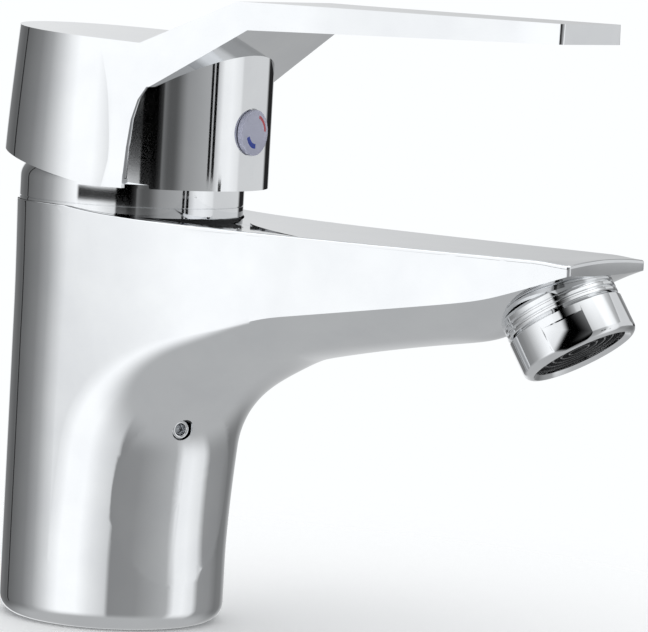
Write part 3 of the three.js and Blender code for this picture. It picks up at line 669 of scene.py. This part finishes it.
# handle
handle = {
    "bellBottomRadius": 27.78,
    "bellDraft": 0.02,
    "bellTaper": 1.25,
    "bottom": 94.4,
    "capZ": 125.6,           # height of the cap on the axis
    "capSlope": 0.05,
    "rearSlope": 0.195,
    "rearStart": 8,
    "sill": 1.9,
    "cheekX": 14,
    "cheekLine": [(14.6, 96.3), (14.9, 103), (15.6, 108.8), (16.9, 113), (18.8, 115.8)],
    "cheekUndercut": 0.36,
    "drumRadius": 24.2,
    "drumX": 5.9,
    "drumWall": 2.2,
    "riserFootX": 16,
    "riserTopX": 36.5,
    "leverTop": 134.7,
    "tipX": 111,
    "tangentAzimuth": 77,
    "sideFall": 0.048,
    "sideLean": 0.0023,
    "tipHalf": 12.4,
    "tipThickness": 4,
    "tipCorner": 1.2,
    "underX": 39.2,
    "underZ": 128.9,
    "riserUnderX": 19.8,
    "riserUnderZ": 116.4,
    "edge": 0.4,
    "bellWall": 1.8,
    "blockRadius": 9,        # the block that holds the spindle's socket
    "blockBottom": 104,
    "blockTop": 121,
    "socketHalf": 4,
    "socketTop": 117.6,
    "screwHole": 2.6,
}
spindlePivot = 92
spindleLean = 11


def leant():
    return moved(z=spindlePivot) @ Matrix.Rotation(math.radians(spindleLean), 4, "Y") @ moved(z=-spindlePivot)


def bellRadiusAt(z):
    t = max(0, (z - 100) / 24)
    draft = handle["bellDraft"] * (z - handle["bottom"])
    return handle["bellBottomRadius"] - draft - handle["bellTaper"] * t ** 1.25


def capAt(x):
    return handle["capZ"] - handle["capSlope"] * x


# the lever's side leaves the bell along its tangent and draws in to the tip
def leverHalfAt(x):
    h = handle
    line = h["tipHalf"] + h["sideFall"] * (h["tipX"] - x)
    radius, turn = bellRadiusAt(h["capZ"]), math.radians(h["tangentAzimuth"])
    tangent = (radius - x * math.cos(turn)) / math.sin(turn)
    if x > h["riserFootX"]:
        return softMax(line, tangent, 1.2)
    if x < radius * math.cos(turn):
        return min(tangent, math.sqrt(max(0, radius ** 2 - x ** 2)))
    return tangent


def makeHandle():
    h = handle
    wide = 60
    sillTop = h["bottom"] + h["sill"]
    heights = [h["bottom"]] + list(np.linspace(100, 132, 17))
    bell = turned("lever_handle", [(0, h["bottom"]), *((bellRadiusAt(z), z) for z in heights), (0, 132)], 224)
    cut(bell, sidePrism("aboveCap", [(-wide, 160), (-wide, capAt(-wide)), (wide, capAt(wide)), (wide, 160)],
                        wide))
    cheekTop = h["cheekLine"][-1][1]
    cut(bell, sidePrism("cheek", [(wide, sillTop), (wide, h["underZ"] + 12), (h["underX"], h["underZ"]),
                                  (h["riserUnderX"], h["riserUnderZ"]), *reversed(h["cheekLine"])], 40))
    corner = roundedCorner(h["tipX"] - h["tipCorner"], h["tipHalf"] - h["tipCorner"], h["tipCorner"], 0, 85)
    side = [(x, leverHalfAt(x)) for x in np.linspace(100, 0, 41)]
    far = corner + side
    plan = [(x, -y) for x, y in reversed(far)] + far
    lever = sidePrism("lever", [
        (0, h["bottom"]), (h["cheekLine"][0][0], h["bottom"]), *h["cheekLine"],
        (h["riserUnderX"], h["riserUnderZ"]), (h["underX"], h["underZ"]),
        (h["tipX"] + 5, h["leverTop"] - h["tipThickness"]), (h["tipX"] + 5, h["leverTop"]),
        (h["riserTopX"], h["leverTop"]), (h["riserFootX"], capAt(h["riserFootX"])), (0, capAt(0))], 40)
    boolean(lever, prism("plan", plan, h["bottom"], h["leverTop"] + 10, lambda x, y, z: (
        x, y * (1 + h["sideLean"] * (h["capZ"] - z)), z)), "INTERSECT")
    drum = placed(rod("drum", h["drumRadius"], h["bottom"], h["riserUnderZ"] + 9, 192), moved(h["drumX"]))
    cut(drum, sidePrism("aboveDrum", [
        (-40, 150), (-40, h["riserUnderZ"] - 7), (h["riserUnderX"], h["riserUnderZ"] + 1),
        (h["underX"], h["underZ"] + 1), (wide, 150)], wide))
    join(bell, lever)

    # the cheek leans back from its outer edge towards the drum
    for side in (-1, 1):
        cut(bell, prism("undercut", [(24, sillTop), (24, cheekTop), *reversed(h["cheekLine"])], 12, 40,
                        lambda x, z, y, s=side: (x + h["cheekUndercut"] * (y - h["drumRadius"]), s * y, z)))
    slope = turned("sillSlope", [(20, sillTop + 1), (h["drumRadius"], sillTop + 0.4), (29, h["bottom"] + 0.3),
                                 (29, sillTop + 1)], 192, close=True)
    cut(bell, boolean(slope, sidePrism("front", [(h["cheekLine"][0][0], 90), (40, 90), (40, 100),
                                                 (h["cheekLine"][0][0], 100)], 40), "INTERSECT"))
    join(bell, drum)
    cut(bell, sidePrism("rear", [
        (h["rearStart"], h["bottom"]), (h["rearStart"], h["bottom"] - 20), (-wide, h["bottom"] - 20),
        (-wide, h["bottom"] + h["rearSlope"] * (wide + h["rearStart"]))], wide))
    softEdges(cleaned(bell, 0.01), h["edge"])
    hollowHandle(bell)
    return trueNormals(shaded(cleaned(bell, 0.004), 24), bellNormal, drumNormal)


def bellNormal(x, y, z):
    radius = bellRadiusAt(z)
    if z < handle["bottom"] - 0.1 or abs(math.hypot(x, y) - radius) > 0.02:
        return None
    slope = (bellRadiusAt(z - 0.1) - bellRadiusAt(z + 0.1)) / 0.2
    return Vector((x / radius, y / radius, slope)).normalized()


def drumNormal(x, y, z):
    out = Vector((x - handle["drumX"], y, 0))
    return out.normalized() if abs(out.length - handle["drumRadius"]) < 0.02 else None


# gives faces that lie on a turned surface that surface's own normals
def trueNormals(obj, *surfaces):
    mesh = obj.data
    normals = [(0, 0, 0)] * len(mesh.loops)
    for face in mesh.polygons:
        corners = [mesh.vertices[i].co / mm for i in face.vertices]
        for surface in surfaces:
            found = [surface(*co) for co in corners]
            if all(n is not None and n.dot(face.normal) > 0.96 for n in found):
                for loop, normal in zip(face.loop_indices, found):
                    normals[loop] = normal
                break
    mesh.normals_split_custom_set(normals)
    return obj


def hollowHandle(obj):
    h = handle
    roof = h["riserUnderZ"] + 3
    room = ring["radius"] + 0.6
    inside = h["bellBottomRadius"] - h["bellWall"] - 3
    hollow = turned("hollow", [(0, h["bottom"] - 1), (room + 0.6, h["bottom"] - 1), (room + 0.6, 104),
                               (inside, 110), (inside, roof - 4), (inside - 4, roof), (0, roof)], 160)
    behind = sidePrism("behind", [(-60, 70), (h["cheekX"] - h["drumWall"], 70),
                                  (h["cheekX"] - h["drumWall"], 140), (-60, 140)], 60)
    boolean(hollow, behind, "INTERSECT")
    drumBore = rod("drumBore", h["drumRadius"] - h["drumWall"], h["bottom"] - 1, h["riserUnderZ"] - 4, 160)
    ringRoom = rod("ringRoom", room, h["bottom"] - 1, ring["top"] + 0.6, 160)
    cut(obj, hollow, placed(drumBore, moved(h["drumX"])), ringRoom)
    join(obj, placed(rod("socketBlock", h["blockRadius"], h["blockBottom"], h["blockTop"], 96), leant()))
    fit = h["socketHalf"]
    stem = planPrism("stem", [(-fit, -fit), (fit, -fit), (fit, fit), (-fit, fit)], 100, h["socketTop"])
    seatX = h["drumX"] + h["drumRadius"]
    cut(obj, placed(stem, leant()), alongX(rod("screwHole", h["screwHole"], 0, seatX - 6, 48), badge["z"]),
        alongX(rod("badgeHole", badge["stem"] + gap, seatX - 8, seatX + 5, 48), badge["z"]),
        alongX(rod("badgeSeat", badge["radius"] + 0.25, seatX - badge["recess"], seatX + 5, 96), badge["z"]))


def alongX(obj, z):
    return placed(obj, moved(z=z) @ Matrix.Rotation(math.pi / 2, 4, "Y"))


# index badge
badge = {"z": 106.8, "radius": 4.85, "proud": 1, "recess": 0.7, "stem": 2.6, "stemLength": 4, "dome": 0.25}


def makeBadge():
    b = badge
    face = handle["drumX"] + handle["drumRadius"] + b["proud"]
    back = face - b["proud"] - b["recess"] + gap
    crown = [(b["radius"] * math.cos(t) if i else b["radius"], face - b["dome"] + b["dome"] * math.sin(t))
             for i, t in enumerate(np.linspace(0, math.pi / 2, 9))]
    profile = [(0, back - b["stemLength"]), (b["stem"], back - b["stemLength"]), (b["stem"], back),
               (b["radius"], back)] + crown
    return shaded(alongX(turned("index_button", profile, 96), b["z"]), 40)


# aerator pieces
def makeSleeve():
    a = aerator
    bore, r = a["spigot"] + gap, a["radius"]
    lip = roundedCorner(r - a["lipRound"], a["lipRound"], a["lipRound"], -80, 0, 8)
    profile = [(a["mouth"], 0.25), (a["mouth"] + 0.3, 0), *lip, (r, a["length"] - 0.3),
               (r - 0.3, a["length"]), (bore, a["length"]), (bore, a["rim"]), (a["lip"], a["rim"]),
               (a["lip"], 0.8)]
    sleeve = turned("aerator_sleeve", profile, 192, close=True)
    top = a["lipRound"] + 0.6 + a["flatHeight"]
    for turn in a["flatTurns"]:
        flat = planPrism("flat", [(a["flatReach"], -8), (20, -8), (20, 8), (a["flatReach"], 8)],
                         a["lipRound"] - 2.4, top)
        placed(flat, Matrix.Rotation(math.radians(turn), 4, "Z"))
        cut(sleeve, flat)
    return placed(shaded(cleaned(sleeve, 0.002)), aeratorPlace())


def makeGrille():
    a = aerator
    bottom = a["rim"] + gap
    profile = [(0, bottom + 0.7), (a["ribs"][0], bottom + 0.7)]
    for r in a["ribs"]:
        w = a["ribWidth"]
        profile += [(r, bottom + 0.7), (r + 0.08, bottom + 0.08), (r + 0.2, bottom), (r + w - 0.2, bottom),
                    (r + w - 0.08, bottom + 0.08), (r + w, bottom + 0.7)]
    edge = a["spigot"]
    profile += [(edge - 1.2, bottom + 0.7), (edge - 1.1, bottom + 0.1), (edge - 1, bottom), (edge, bottom),
                (edge, bottom + 2.8), (edge - 1, bottom + 2.8), (edge - 1, bottom + 1.2), (0, bottom + 1.2)]
    grille = turned("aerator_grille", profile, 128)
    for row, r in enumerate(a["ribs"]):
        count = 8 + 6 * row
        for i in range(count):
            angle = 2 * math.pi * i / count
            tool = placed(rod("jet", a["jet"], bottom - 1, bottom + 4, 10),
                          moved((r + 1.15) * math.cos(angle), (r + 1.15) * math.sin(angle)))
            cut(grille, tool)
    return placed(shaded(grille, 30), aeratorPlace())


# materials
def newMaterial(name):
    material = bpy.data.materials.new(name)
    material.use_nodes = True
    nodes = material.node_tree.nodes
    return material, nodes, material.node_tree.links, nodes["Principled BSDF"]


# gives each input its value, or a link where the value is another node's output
def feed(links, pairs):
    for socket, value in pairs:
        if isinstance(value, bpy.types.NodeSocket):
            links.new(value, socket)
        else:
            socket.default_value = value


def mathMaker(nodes, links):
    def calculate(operation, *values):
        node = nodes.new("ShaderNodeMath")
        node.operation = operation
        feed(links, zip(node.inputs, values))
        return node.outputs[0]

    return calculate


# faint handling marks and polish variation shared by the finishes
def makeWearGroup():
    group = bpy.data.node_groups.new("surfaceWear", "ShaderNodeTree")
    for name, value in (("Scale", 60.0), ("Base Roughness", 0.05), ("Variation", 0.02), ("Relief", 0.02)):
        socket = group.interface.new_socket(name, in_out="INPUT", socket_type="NodeSocketFloat")
        socket.default_value = value
    group.interface.new_socket("Roughness", in_out="OUTPUT", socket_type="NodeSocketFloat")
    group.interface.new_socket("Mask", in_out="OUTPUT", socket_type="NodeSocketFloat")
    group.interface.new_socket("Normal", in_out="OUTPUT", socket_type="NodeSocketVector")
    nodes, links = group.nodes, group.links
    inward, outward = nodes.new("NodeGroupInput"), nodes.new("NodeGroupOutput")
    place = nodes.new("ShaderNodeTexCoord")
    noise = nodes.new("ShaderNodeTexNoise")
    noise.inputs["Detail"].default_value = 6
    links.new(place.outputs["Object"], noise.inputs["Vector"])
    links.new(inward.outputs["Scale"], noise.inputs["Scale"])
    spread = nodes.new("ShaderNodeMath")
    spread.operation = "MULTIPLY_ADD"
    links.new(noise.outputs["Fac"], spread.inputs[0])
    links.new(inward.outputs["Variation"], spread.inputs[1])
    links.new(inward.outputs["Base Roughness"], spread.inputs[2])
    links.new(spread.outputs[0], outward.inputs["Roughness"])
    links.new(noise.outputs["Fac"], outward.inputs["Mask"])
    bump = nodes.new("ShaderNodeBump")
    bump.inputs["Distance"].default_value = 0.0002
    links.new(inward.outputs["Relief"], bump.inputs["Strength"])
    links.new(noise.outputs["Fac"], bump.inputs["Height"])
    links.new(bump.outputs["Normal"], outward.inputs["Normal"])
    return group


wearGroup = makeWearGroup()


def finish(name, low, high, metallic, roughness, variation, scale, relief, coat=0.0):
    material, nodes, links, shader = newMaterial(name)
    wear = nodes.new("ShaderNodeGroup")
    wear.node_tree = wearGroup
    for key, value in (("Scale", scale), ("Base Roughness", roughness), ("Variation", variation),
                       ("Relief", relief)):
        wear.inputs[key].default_value = value
    ramp = nodes.new("ShaderNodeValToRGB")
    ramp.color_ramp.elements[0].position, ramp.color_ramp.elements[1].position = 0.35, 0.65
    ramp.color_ramp.elements[0].color, ramp.color_ramp.elements[1].color = (*low, 1), (*high, 1)
    links.new(wear.outputs["Mask"], ramp.inputs["Fac"])
    links.new(ramp.outputs["Color"], shader.inputs["Base Color"])
    links.new(wear.outputs["Roughness"], shader.inputs["Roughness"])
    links.new(wear.outputs["Normal"], shader.inputs["Normal"])
    shader.inputs["Metallic"].default_value = metallic
    shader.inputs["Coat Weight"].default_value = coat
    return material


def makeFinishes():
    return {
        "polished_chrome": finish("polishedChrome", (0.80, 0.81, 0.825), (0.84, 0.85, 0.86), metallic=1,
                                  roughness=0.035, variation=0.02, scale=90, relief=0.01),
        "plain_brass": finish("turnedBrass", (0.62, 0.45, 0.19), (0.74, 0.56, 0.27), metallic=1,
                              roughness=0.22, variation=0.16, scale=140, relief=0.12),
        "bright_steel": finish("brightSteel", (0.5, 0.51, 0.52), (0.62, 0.63, 0.64), metallic=1,
                               roughness=0.2, variation=0.15, scale=180, relief=0.12),
        "black_rubber": finish("blackRubber", (0.018, 0.018, 0.02), (0.035, 0.035, 0.037), metallic=0,
                               roughness=0.62, variation=0.2, scale=260, relief=0.3),
        "disc_ceramic": finish("discCeramic", (0.80, 0.79, 0.74), (0.88, 0.87, 0.83), metallic=0,
                               roughness=0.2, variation=0.12, scale=150, relief=0.05),
        "white_plastic": finish("whitePlastic", (0.72, 0.73, 0.74), (0.8, 0.81, 0.82), metallic=0,
                                roughness=0.38, variation=0.14, scale=160, relief=0.1),
        "aerator_plastic": finish("aeratorPlastic", (0.03, 0.031, 0.033), (0.06, 0.062, 0.065), metallic=0,
                                  roughness=0.16, variation=0.1, scale=200, relief=0.05),
        "grey_plastic": finish("greyPlastic", (0.25, 0.265, 0.28), (0.34, 0.355, 0.37), metallic=0,
                               roughness=0.35, variation=0.16, scale=200, relief=0.12),
    }


# pale cap with one blue and one red arc laid into it
def makeBadgeFinish():
    material, nodes, links, shader = newMaterial("badgeEnamel")
    place = nodes.new("ShaderNodeTexCoord")
    apart = nodes.new("ShaderNodeSeparateXYZ")
    links.new(place.outputs["Object"], apart.inputs[0])

    calculate = mathMaker(nodes, links)
    y = apart.outputs["Y"]
    z = calculate("SUBTRACT", apart.outputs["Z"], badge["z"] * mm)
    radius = calculate("SQRT", calculate("ADD", calculate("MULTIPLY", y, y), calculate("MULTIPLY", z, z)))
    angle = calculate("ARCTAN2", z, y)

    def arcMask(middle, halfSpan, low, high):
        band = calculate("MULTIPLY", calculate("GREATER_THAN", radius, low * mm),
                         calculate("LESS_THAN", radius, high * mm))
        off = calculate("ABSOLUTE", calculate("SUBTRACT", angle, math.radians(middle)))
        return calculate("MULTIPLY", band, calculate("LESS_THAN", off, math.radians(halfSpan)))

    def mixed(mask, below, above):
        node = nodes.new("ShaderNodeMix")
        node.data_type = "RGBA"
        links.new(mask, node.inputs["Factor"])
        feed(links, ((node.inputs["A"], below), (node.inputs["B"], above)))
        return node.outputs["Result"]

    cold = mixed(arcMask(-125, 38, 2.3, 3.35), (0.60, 0.61, 0.76, 1), (0.01, 0.05, 0.42, 1))
    both = mixed(arcMask(38, 34, 3.2, 3.9), cold, (0.62, 0.03, 0.05, 1))
    links.new(both, shader.inputs["Base Color"])
    noise = nodes.new("ShaderNodeTexNoise")
    noise.inputs["Scale"].default_value = 900
    links.new(place.outputs["Object"], noise.inputs["Vector"])
    links.new(calculate("MULTIPLY_ADD", noise.outputs["Fac"], 0.12, 0.16), shader.inputs["Roughness"])
    shader.inputs["Coat Weight"].default_value = 0.4
    shader.inputs["Coat Roughness"].default_value = 0.08
    return material


# studio
studio = {
    "floorTone": 0.9,
    "floorFade": (0.05, 0.22),       # distance over which the floor melts into the backdrop
    "overhead": 1.5,
    "underneath": 0.5,
    "backdrop": 1.0,
    "tint": (0.985, 1.0, 1.012),
    # brightness of the wall round the object, by azimuth in degrees
    "wall": [(-180, 0.17), (-160, 0.25), (-145, 0.42), (-132, 0.72), (-122, 0.98), (-112, 1.18), (-92, 1.18),
             (-78, 0.92), (-62, 0.72), (-58, 0.28), (-30, 0.3), (4, 0.48), (13, 1.0), (24, 1.05), (37, 0.88),
             (45, 0.33), (64, 0.3), (80, 0.2), (95, 0.22), (118, 0.55), (132, 1.0), (138, 0.85), (142, 0.22),
             (165, 0.13), (180, 0.17)],
    # cards hung in front of the wall: azimuth range, elevation range, softness and tone
    "cards": [(-71, -50, -4.4, 9, 1.2, 0.0), (-50, -32, -4.4, 9, 7, 0.1), (-76, -46, 18, 42, 3, 0.0),
              (38, 88, -4.4, 30, 3, 0.72),
              (91, 112, -4.6, 0.2, 1.5, 0.02), (-112, -66, -3.72, -2.3, 2, 0.0),
              (170, 172.5, -16, 20, 0.5, 0.02)],
    "levelSoftness": 0.12,           # softness of every card's upper and lower edges
    # narrow black strips standing near the object: azimuth range and height range
    "stripDistance": 400,
    "strips": [(-3.4, -0.8, 72.7, 120), (0.8, 3.8, 72.7, 120), (9.5, 13, 56.5, 72.3)],
}


def makeFloor():
    f = studio
    floor = meshObject("floor", [(-3000, -3000, 0), (3000, -3000, 0), (3000, 3000, 0), (-3000, 3000, 0)],
                       [(0, 1, 2, 3)])
    material, nodes, links, shader = newMaterial("floorPaper")
    shader.inputs["Base Color"].default_value = (f["floorTone"],) * 3 + (1,)
    shader.inputs["Roughness"].default_value = 0.8
    shader.inputs["Specular IOR Level"].default_value = 0.1
    place, length, fade = (nodes.new(kind) for kind in ("ShaderNodeTexCoord", "ShaderNodeVectorMath",
                                                        "ShaderNodeMapRange"))
    length.operation = "LENGTH"
    fade.interpolation_type = "SMOOTHSTEP"
    fade.inputs["From Min"].default_value, fade.inputs["From Max"].default_value = f["floorFade"]
    links.new(place.outputs["Object"], length.inputs[0])
    links.new(length.outputs["Value"], fade.inputs["Value"])
    path, either = nodes.new("ShaderNodeLightPath"), nodes.new("ShaderNodeMath")
    either.operation = "MAXIMUM"
    links.new(path.outputs["Is Glossy Ray"], either.inputs[0])
    links.new(fade.outputs["Result"], either.inputs[1])
    clear, mix = nodes.new("ShaderNodeBsdfTransparent"), nodes.new("ShaderNodeMixShader")
    links.new(either.outputs[0], mix.inputs["Fac"])
    links.new(shader.outputs[0], mix.inputs[1])
    links.new(clear.outputs[0], mix.inputs[2])
    links.new(mix.outputs[0], nodes["Material Output"].inputs["Surface"])
    floor.data.materials.append(material)


def makeStrips():
    material, _, _, shader = newMaterial("stripCloth")
    shader.inputs["Base Color"].default_value = (0.004, 0.004, 0.004, 1)
    shader.inputs["Roughness"].default_value = 0.9
    shader.inputs["Specular IOR Level"].default_value = 0
    for start, end, low, high in studio["strips"]:
        turns = [math.radians(start), math.radians(end)]
        reach = studio["stripDistance"]
        around = [(reach * math.cos(t), reach * math.sin(t)) for t in turns]
        points = [(x, y, z) for z in (low, high) for x, y in around]
        strip = meshObject("strip", points, [(0, 1, 3, 2)])
        strip.data.materials.append(material)
        strip.visible_camera = False


# how much of a card covers a direction, both in degrees
def makeCardGroup():
    group = bpy.data.node_groups.new("studioCard", "ShaderNodeTree")
    for name in ("Azimuth", "Elevation", "From", "To", "Low", "High", "Soft"):
        group.interface.new_socket(name, in_out="INPUT", socket_type="NodeSocketFloat")
    group.interface.new_socket("Mask", in_out="OUTPUT", socket_type="NodeSocketFloat")
    nodes, links = group.nodes, group.links
    inward, outward = nodes.new("NodeGroupInput"), nodes.new("NodeGroupOutput")

    def span(value, low, high, soft):
        masks = []
        for first, second in ((value, low), (high, value)):
            off, share = nodes.new("ShaderNodeMath"), nodes.new("ShaderNodeMapRange")
            off.operation = "SUBTRACT"
            links.new(first, off.inputs[0])
            links.new(second, off.inputs[1])
            share.interpolation_type = "SMOOTHSTEP"
            links.new(off.outputs[0], share.inputs["Value"])
            back = nodes.new("ShaderNodeMath")
            back.operation = "MULTIPLY"
            back.inputs[1].default_value = -1
            links.new(soft, back.inputs[0])
            links.new(back.outputs[0], share.inputs["From Min"])
            links.new(soft, share.inputs["From Max"])
            masks.append(share.outputs["Result"])
        return masks

    sockets = inward.outputs
    level = nodes.new("ShaderNodeValue")
    level.outputs[0].default_value = studio["levelSoftness"]
    masks = (span(sockets["Azimuth"], sockets["From"], sockets["To"], sockets["Soft"])
             + span(sockets["Elevation"], sockets["Low"], sockets["High"], level.outputs[0]))
    total = masks[0]
    for mask in masks[1:]:
        product = nodes.new("ShaderNodeMath")
        product.operation = "MULTIPLY"
        links.new(total, product.inputs[0])
        links.new(mask, product.inputs[1])
        total = product.outputs[0]
    links.new(total, outward.inputs["Mask"])
    return group


def makeWorld():
    st = studio
    bpy.context.scene.view_settings.view_transform = "Standard"     # the chrome's white stays white
    world = bpy.data.worlds.new("studioWorld")
    bpy.context.scene.world = world
    world.use_nodes = True
    nodes, links = world.node_tree.nodes, world.node_tree.links

    calculate = mathMaker(nodes, links)

    def blend(mask, below, above):
        node = nodes.new("ShaderNodeMix")
        feed(links, ((node.inputs["Factor"], mask), (node.inputs["A"], below), (node.inputs["B"], above)))
        return node.outputs["Result"]

    def fade(value, low, high):
        node = nodes.new("ShaderNodeMapRange")
        node.interpolation_type = "SMOOTHSTEP"
        node.inputs["From Min"].default_value, node.inputs["From Max"].default_value = low, high
        links.new(value, node.inputs["Value"])
        return node.outputs["Result"]

    place, apart = nodes.new("ShaderNodeTexCoord"), nodes.new("ShaderNodeSeparateXYZ")
    links.new(place.outputs["Generated"], apart.inputs[0])
    azimuth = calculate("DEGREES", calculate("ARCTAN2", apart.outputs["Y"], apart.outputs["X"]))
    elevation = calculate("DEGREES", calculate("ARCSINE", apart.outputs["Z"]))
    curve = nodes.new("ShaderNodeFloatCurve")
    line = curve.mapping.curves[0]
    peak = max(tone for _, tone in st["wall"])
    for i, (angle, tone) in enumerate(st["wall"]):
        x, y = (angle + 180) / 360, tone / peak
        point = line.points[0] if i == 0 else line.points.new(x, y)
        point.location = (x, y)
        point.handle_type = "VECTOR"
    line.points.remove(max(line.points, key=lambda q: (q.location[0], q.location[1])))
    line.points.new(1, st["wall"][-1][1] / peak).handle_type = "VECTOR"
    curve.mapping.update()
    links.new(calculate("DIVIDE", calculate("ADD", azimuth, 180.0), 360.0), curve.inputs["Value"])
    tone = calculate("MULTIPLY", curve.outputs[0], peak)
    cards = makeCardGroup()
    for card in st["cards"]:
        node = nodes.new("ShaderNodeGroup")
        node.node_tree = cards
        links.new(azimuth, node.inputs["Azimuth"])
        links.new(elevation, node.inputs["Elevation"])
        for name, value in zip(("From", "To", "Low", "High", "Soft"), card):
            node.inputs[name].default_value = value
        tone = blend(node.outputs["Mask"], tone, card[-1])
    tone = blend(fade(elevation, 25.0, 55.0), tone, st["overhead"])
    tone = blend(fade(calculate("MULTIPLY", elevation, -1.0), 16.0, 44.0), tone, st["underneath"])
    path = nodes.new("ShaderNodeLightPath")
    tone = blend(path.outputs["Is Camera Ray"], tone, st["backdrop"])
    tint = nodes.new("ShaderNodeCombineXYZ")
    for axis, share in zip("XYZ", st["tint"]):
        links.new(calculate("MULTIPLY", tone, share), tint.inputs[axis])
    links.new(tint.outputs[0], nodes["Background"].inputs["Color"])


# assembly
finishes = makeFinishes()


def finished(obj, material, body_, slot, *nodes):
    obj.data.materials.clear()
    obj.data.materials.append(material)
    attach(obj, body_)
    if nodes:
        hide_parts(*nodes)


finished(makeBody(), finishes["polished_chrome"], "fixed", "polished_chrome", "body_casting")
print("body made")
finished(makeEyelet(), finishes["polished_chrome"], "fixed", "polished_chrome", "chain_eyelet")
finished(makeRing(), finishes["polished_chrome"], "fixed", "polished_chrome", "dome_ring")
# painted shade: the black band in the gap under the ring
finished(makeRingGapShade(), finishes["black_rubber"], "fixed", "black_rubber")
finished(makeHandle(), finishes["polished_chrome"], "lever", "polished_chrome", "handle")
print("handle made")
finished(makeBadge(), makeBadgeFinish(), "lever", "badge_plastic", "index_badge")
finished(makeSleeve(), finishes["polished_chrome"], "fixed", "polished_chrome", "aerator_housing")
finished(makeGrille(), finishes["aerator_plastic"], "fixed", "grey_plastic", "aerator_insert")
print("aerator made")

for part in frame["record"]["subparts"]:
    node, slot = part["node"], part["material_slot"]
    if not frame["nodes"][node].hide_render:
        frame["nodes"][node].data.materials.clear()
        frame["nodes"][node].data.materials.append(finishes[slot])
print("inner pieces finished")

makeFloor()
makeStrips()
makeWorld()
print("studio made")
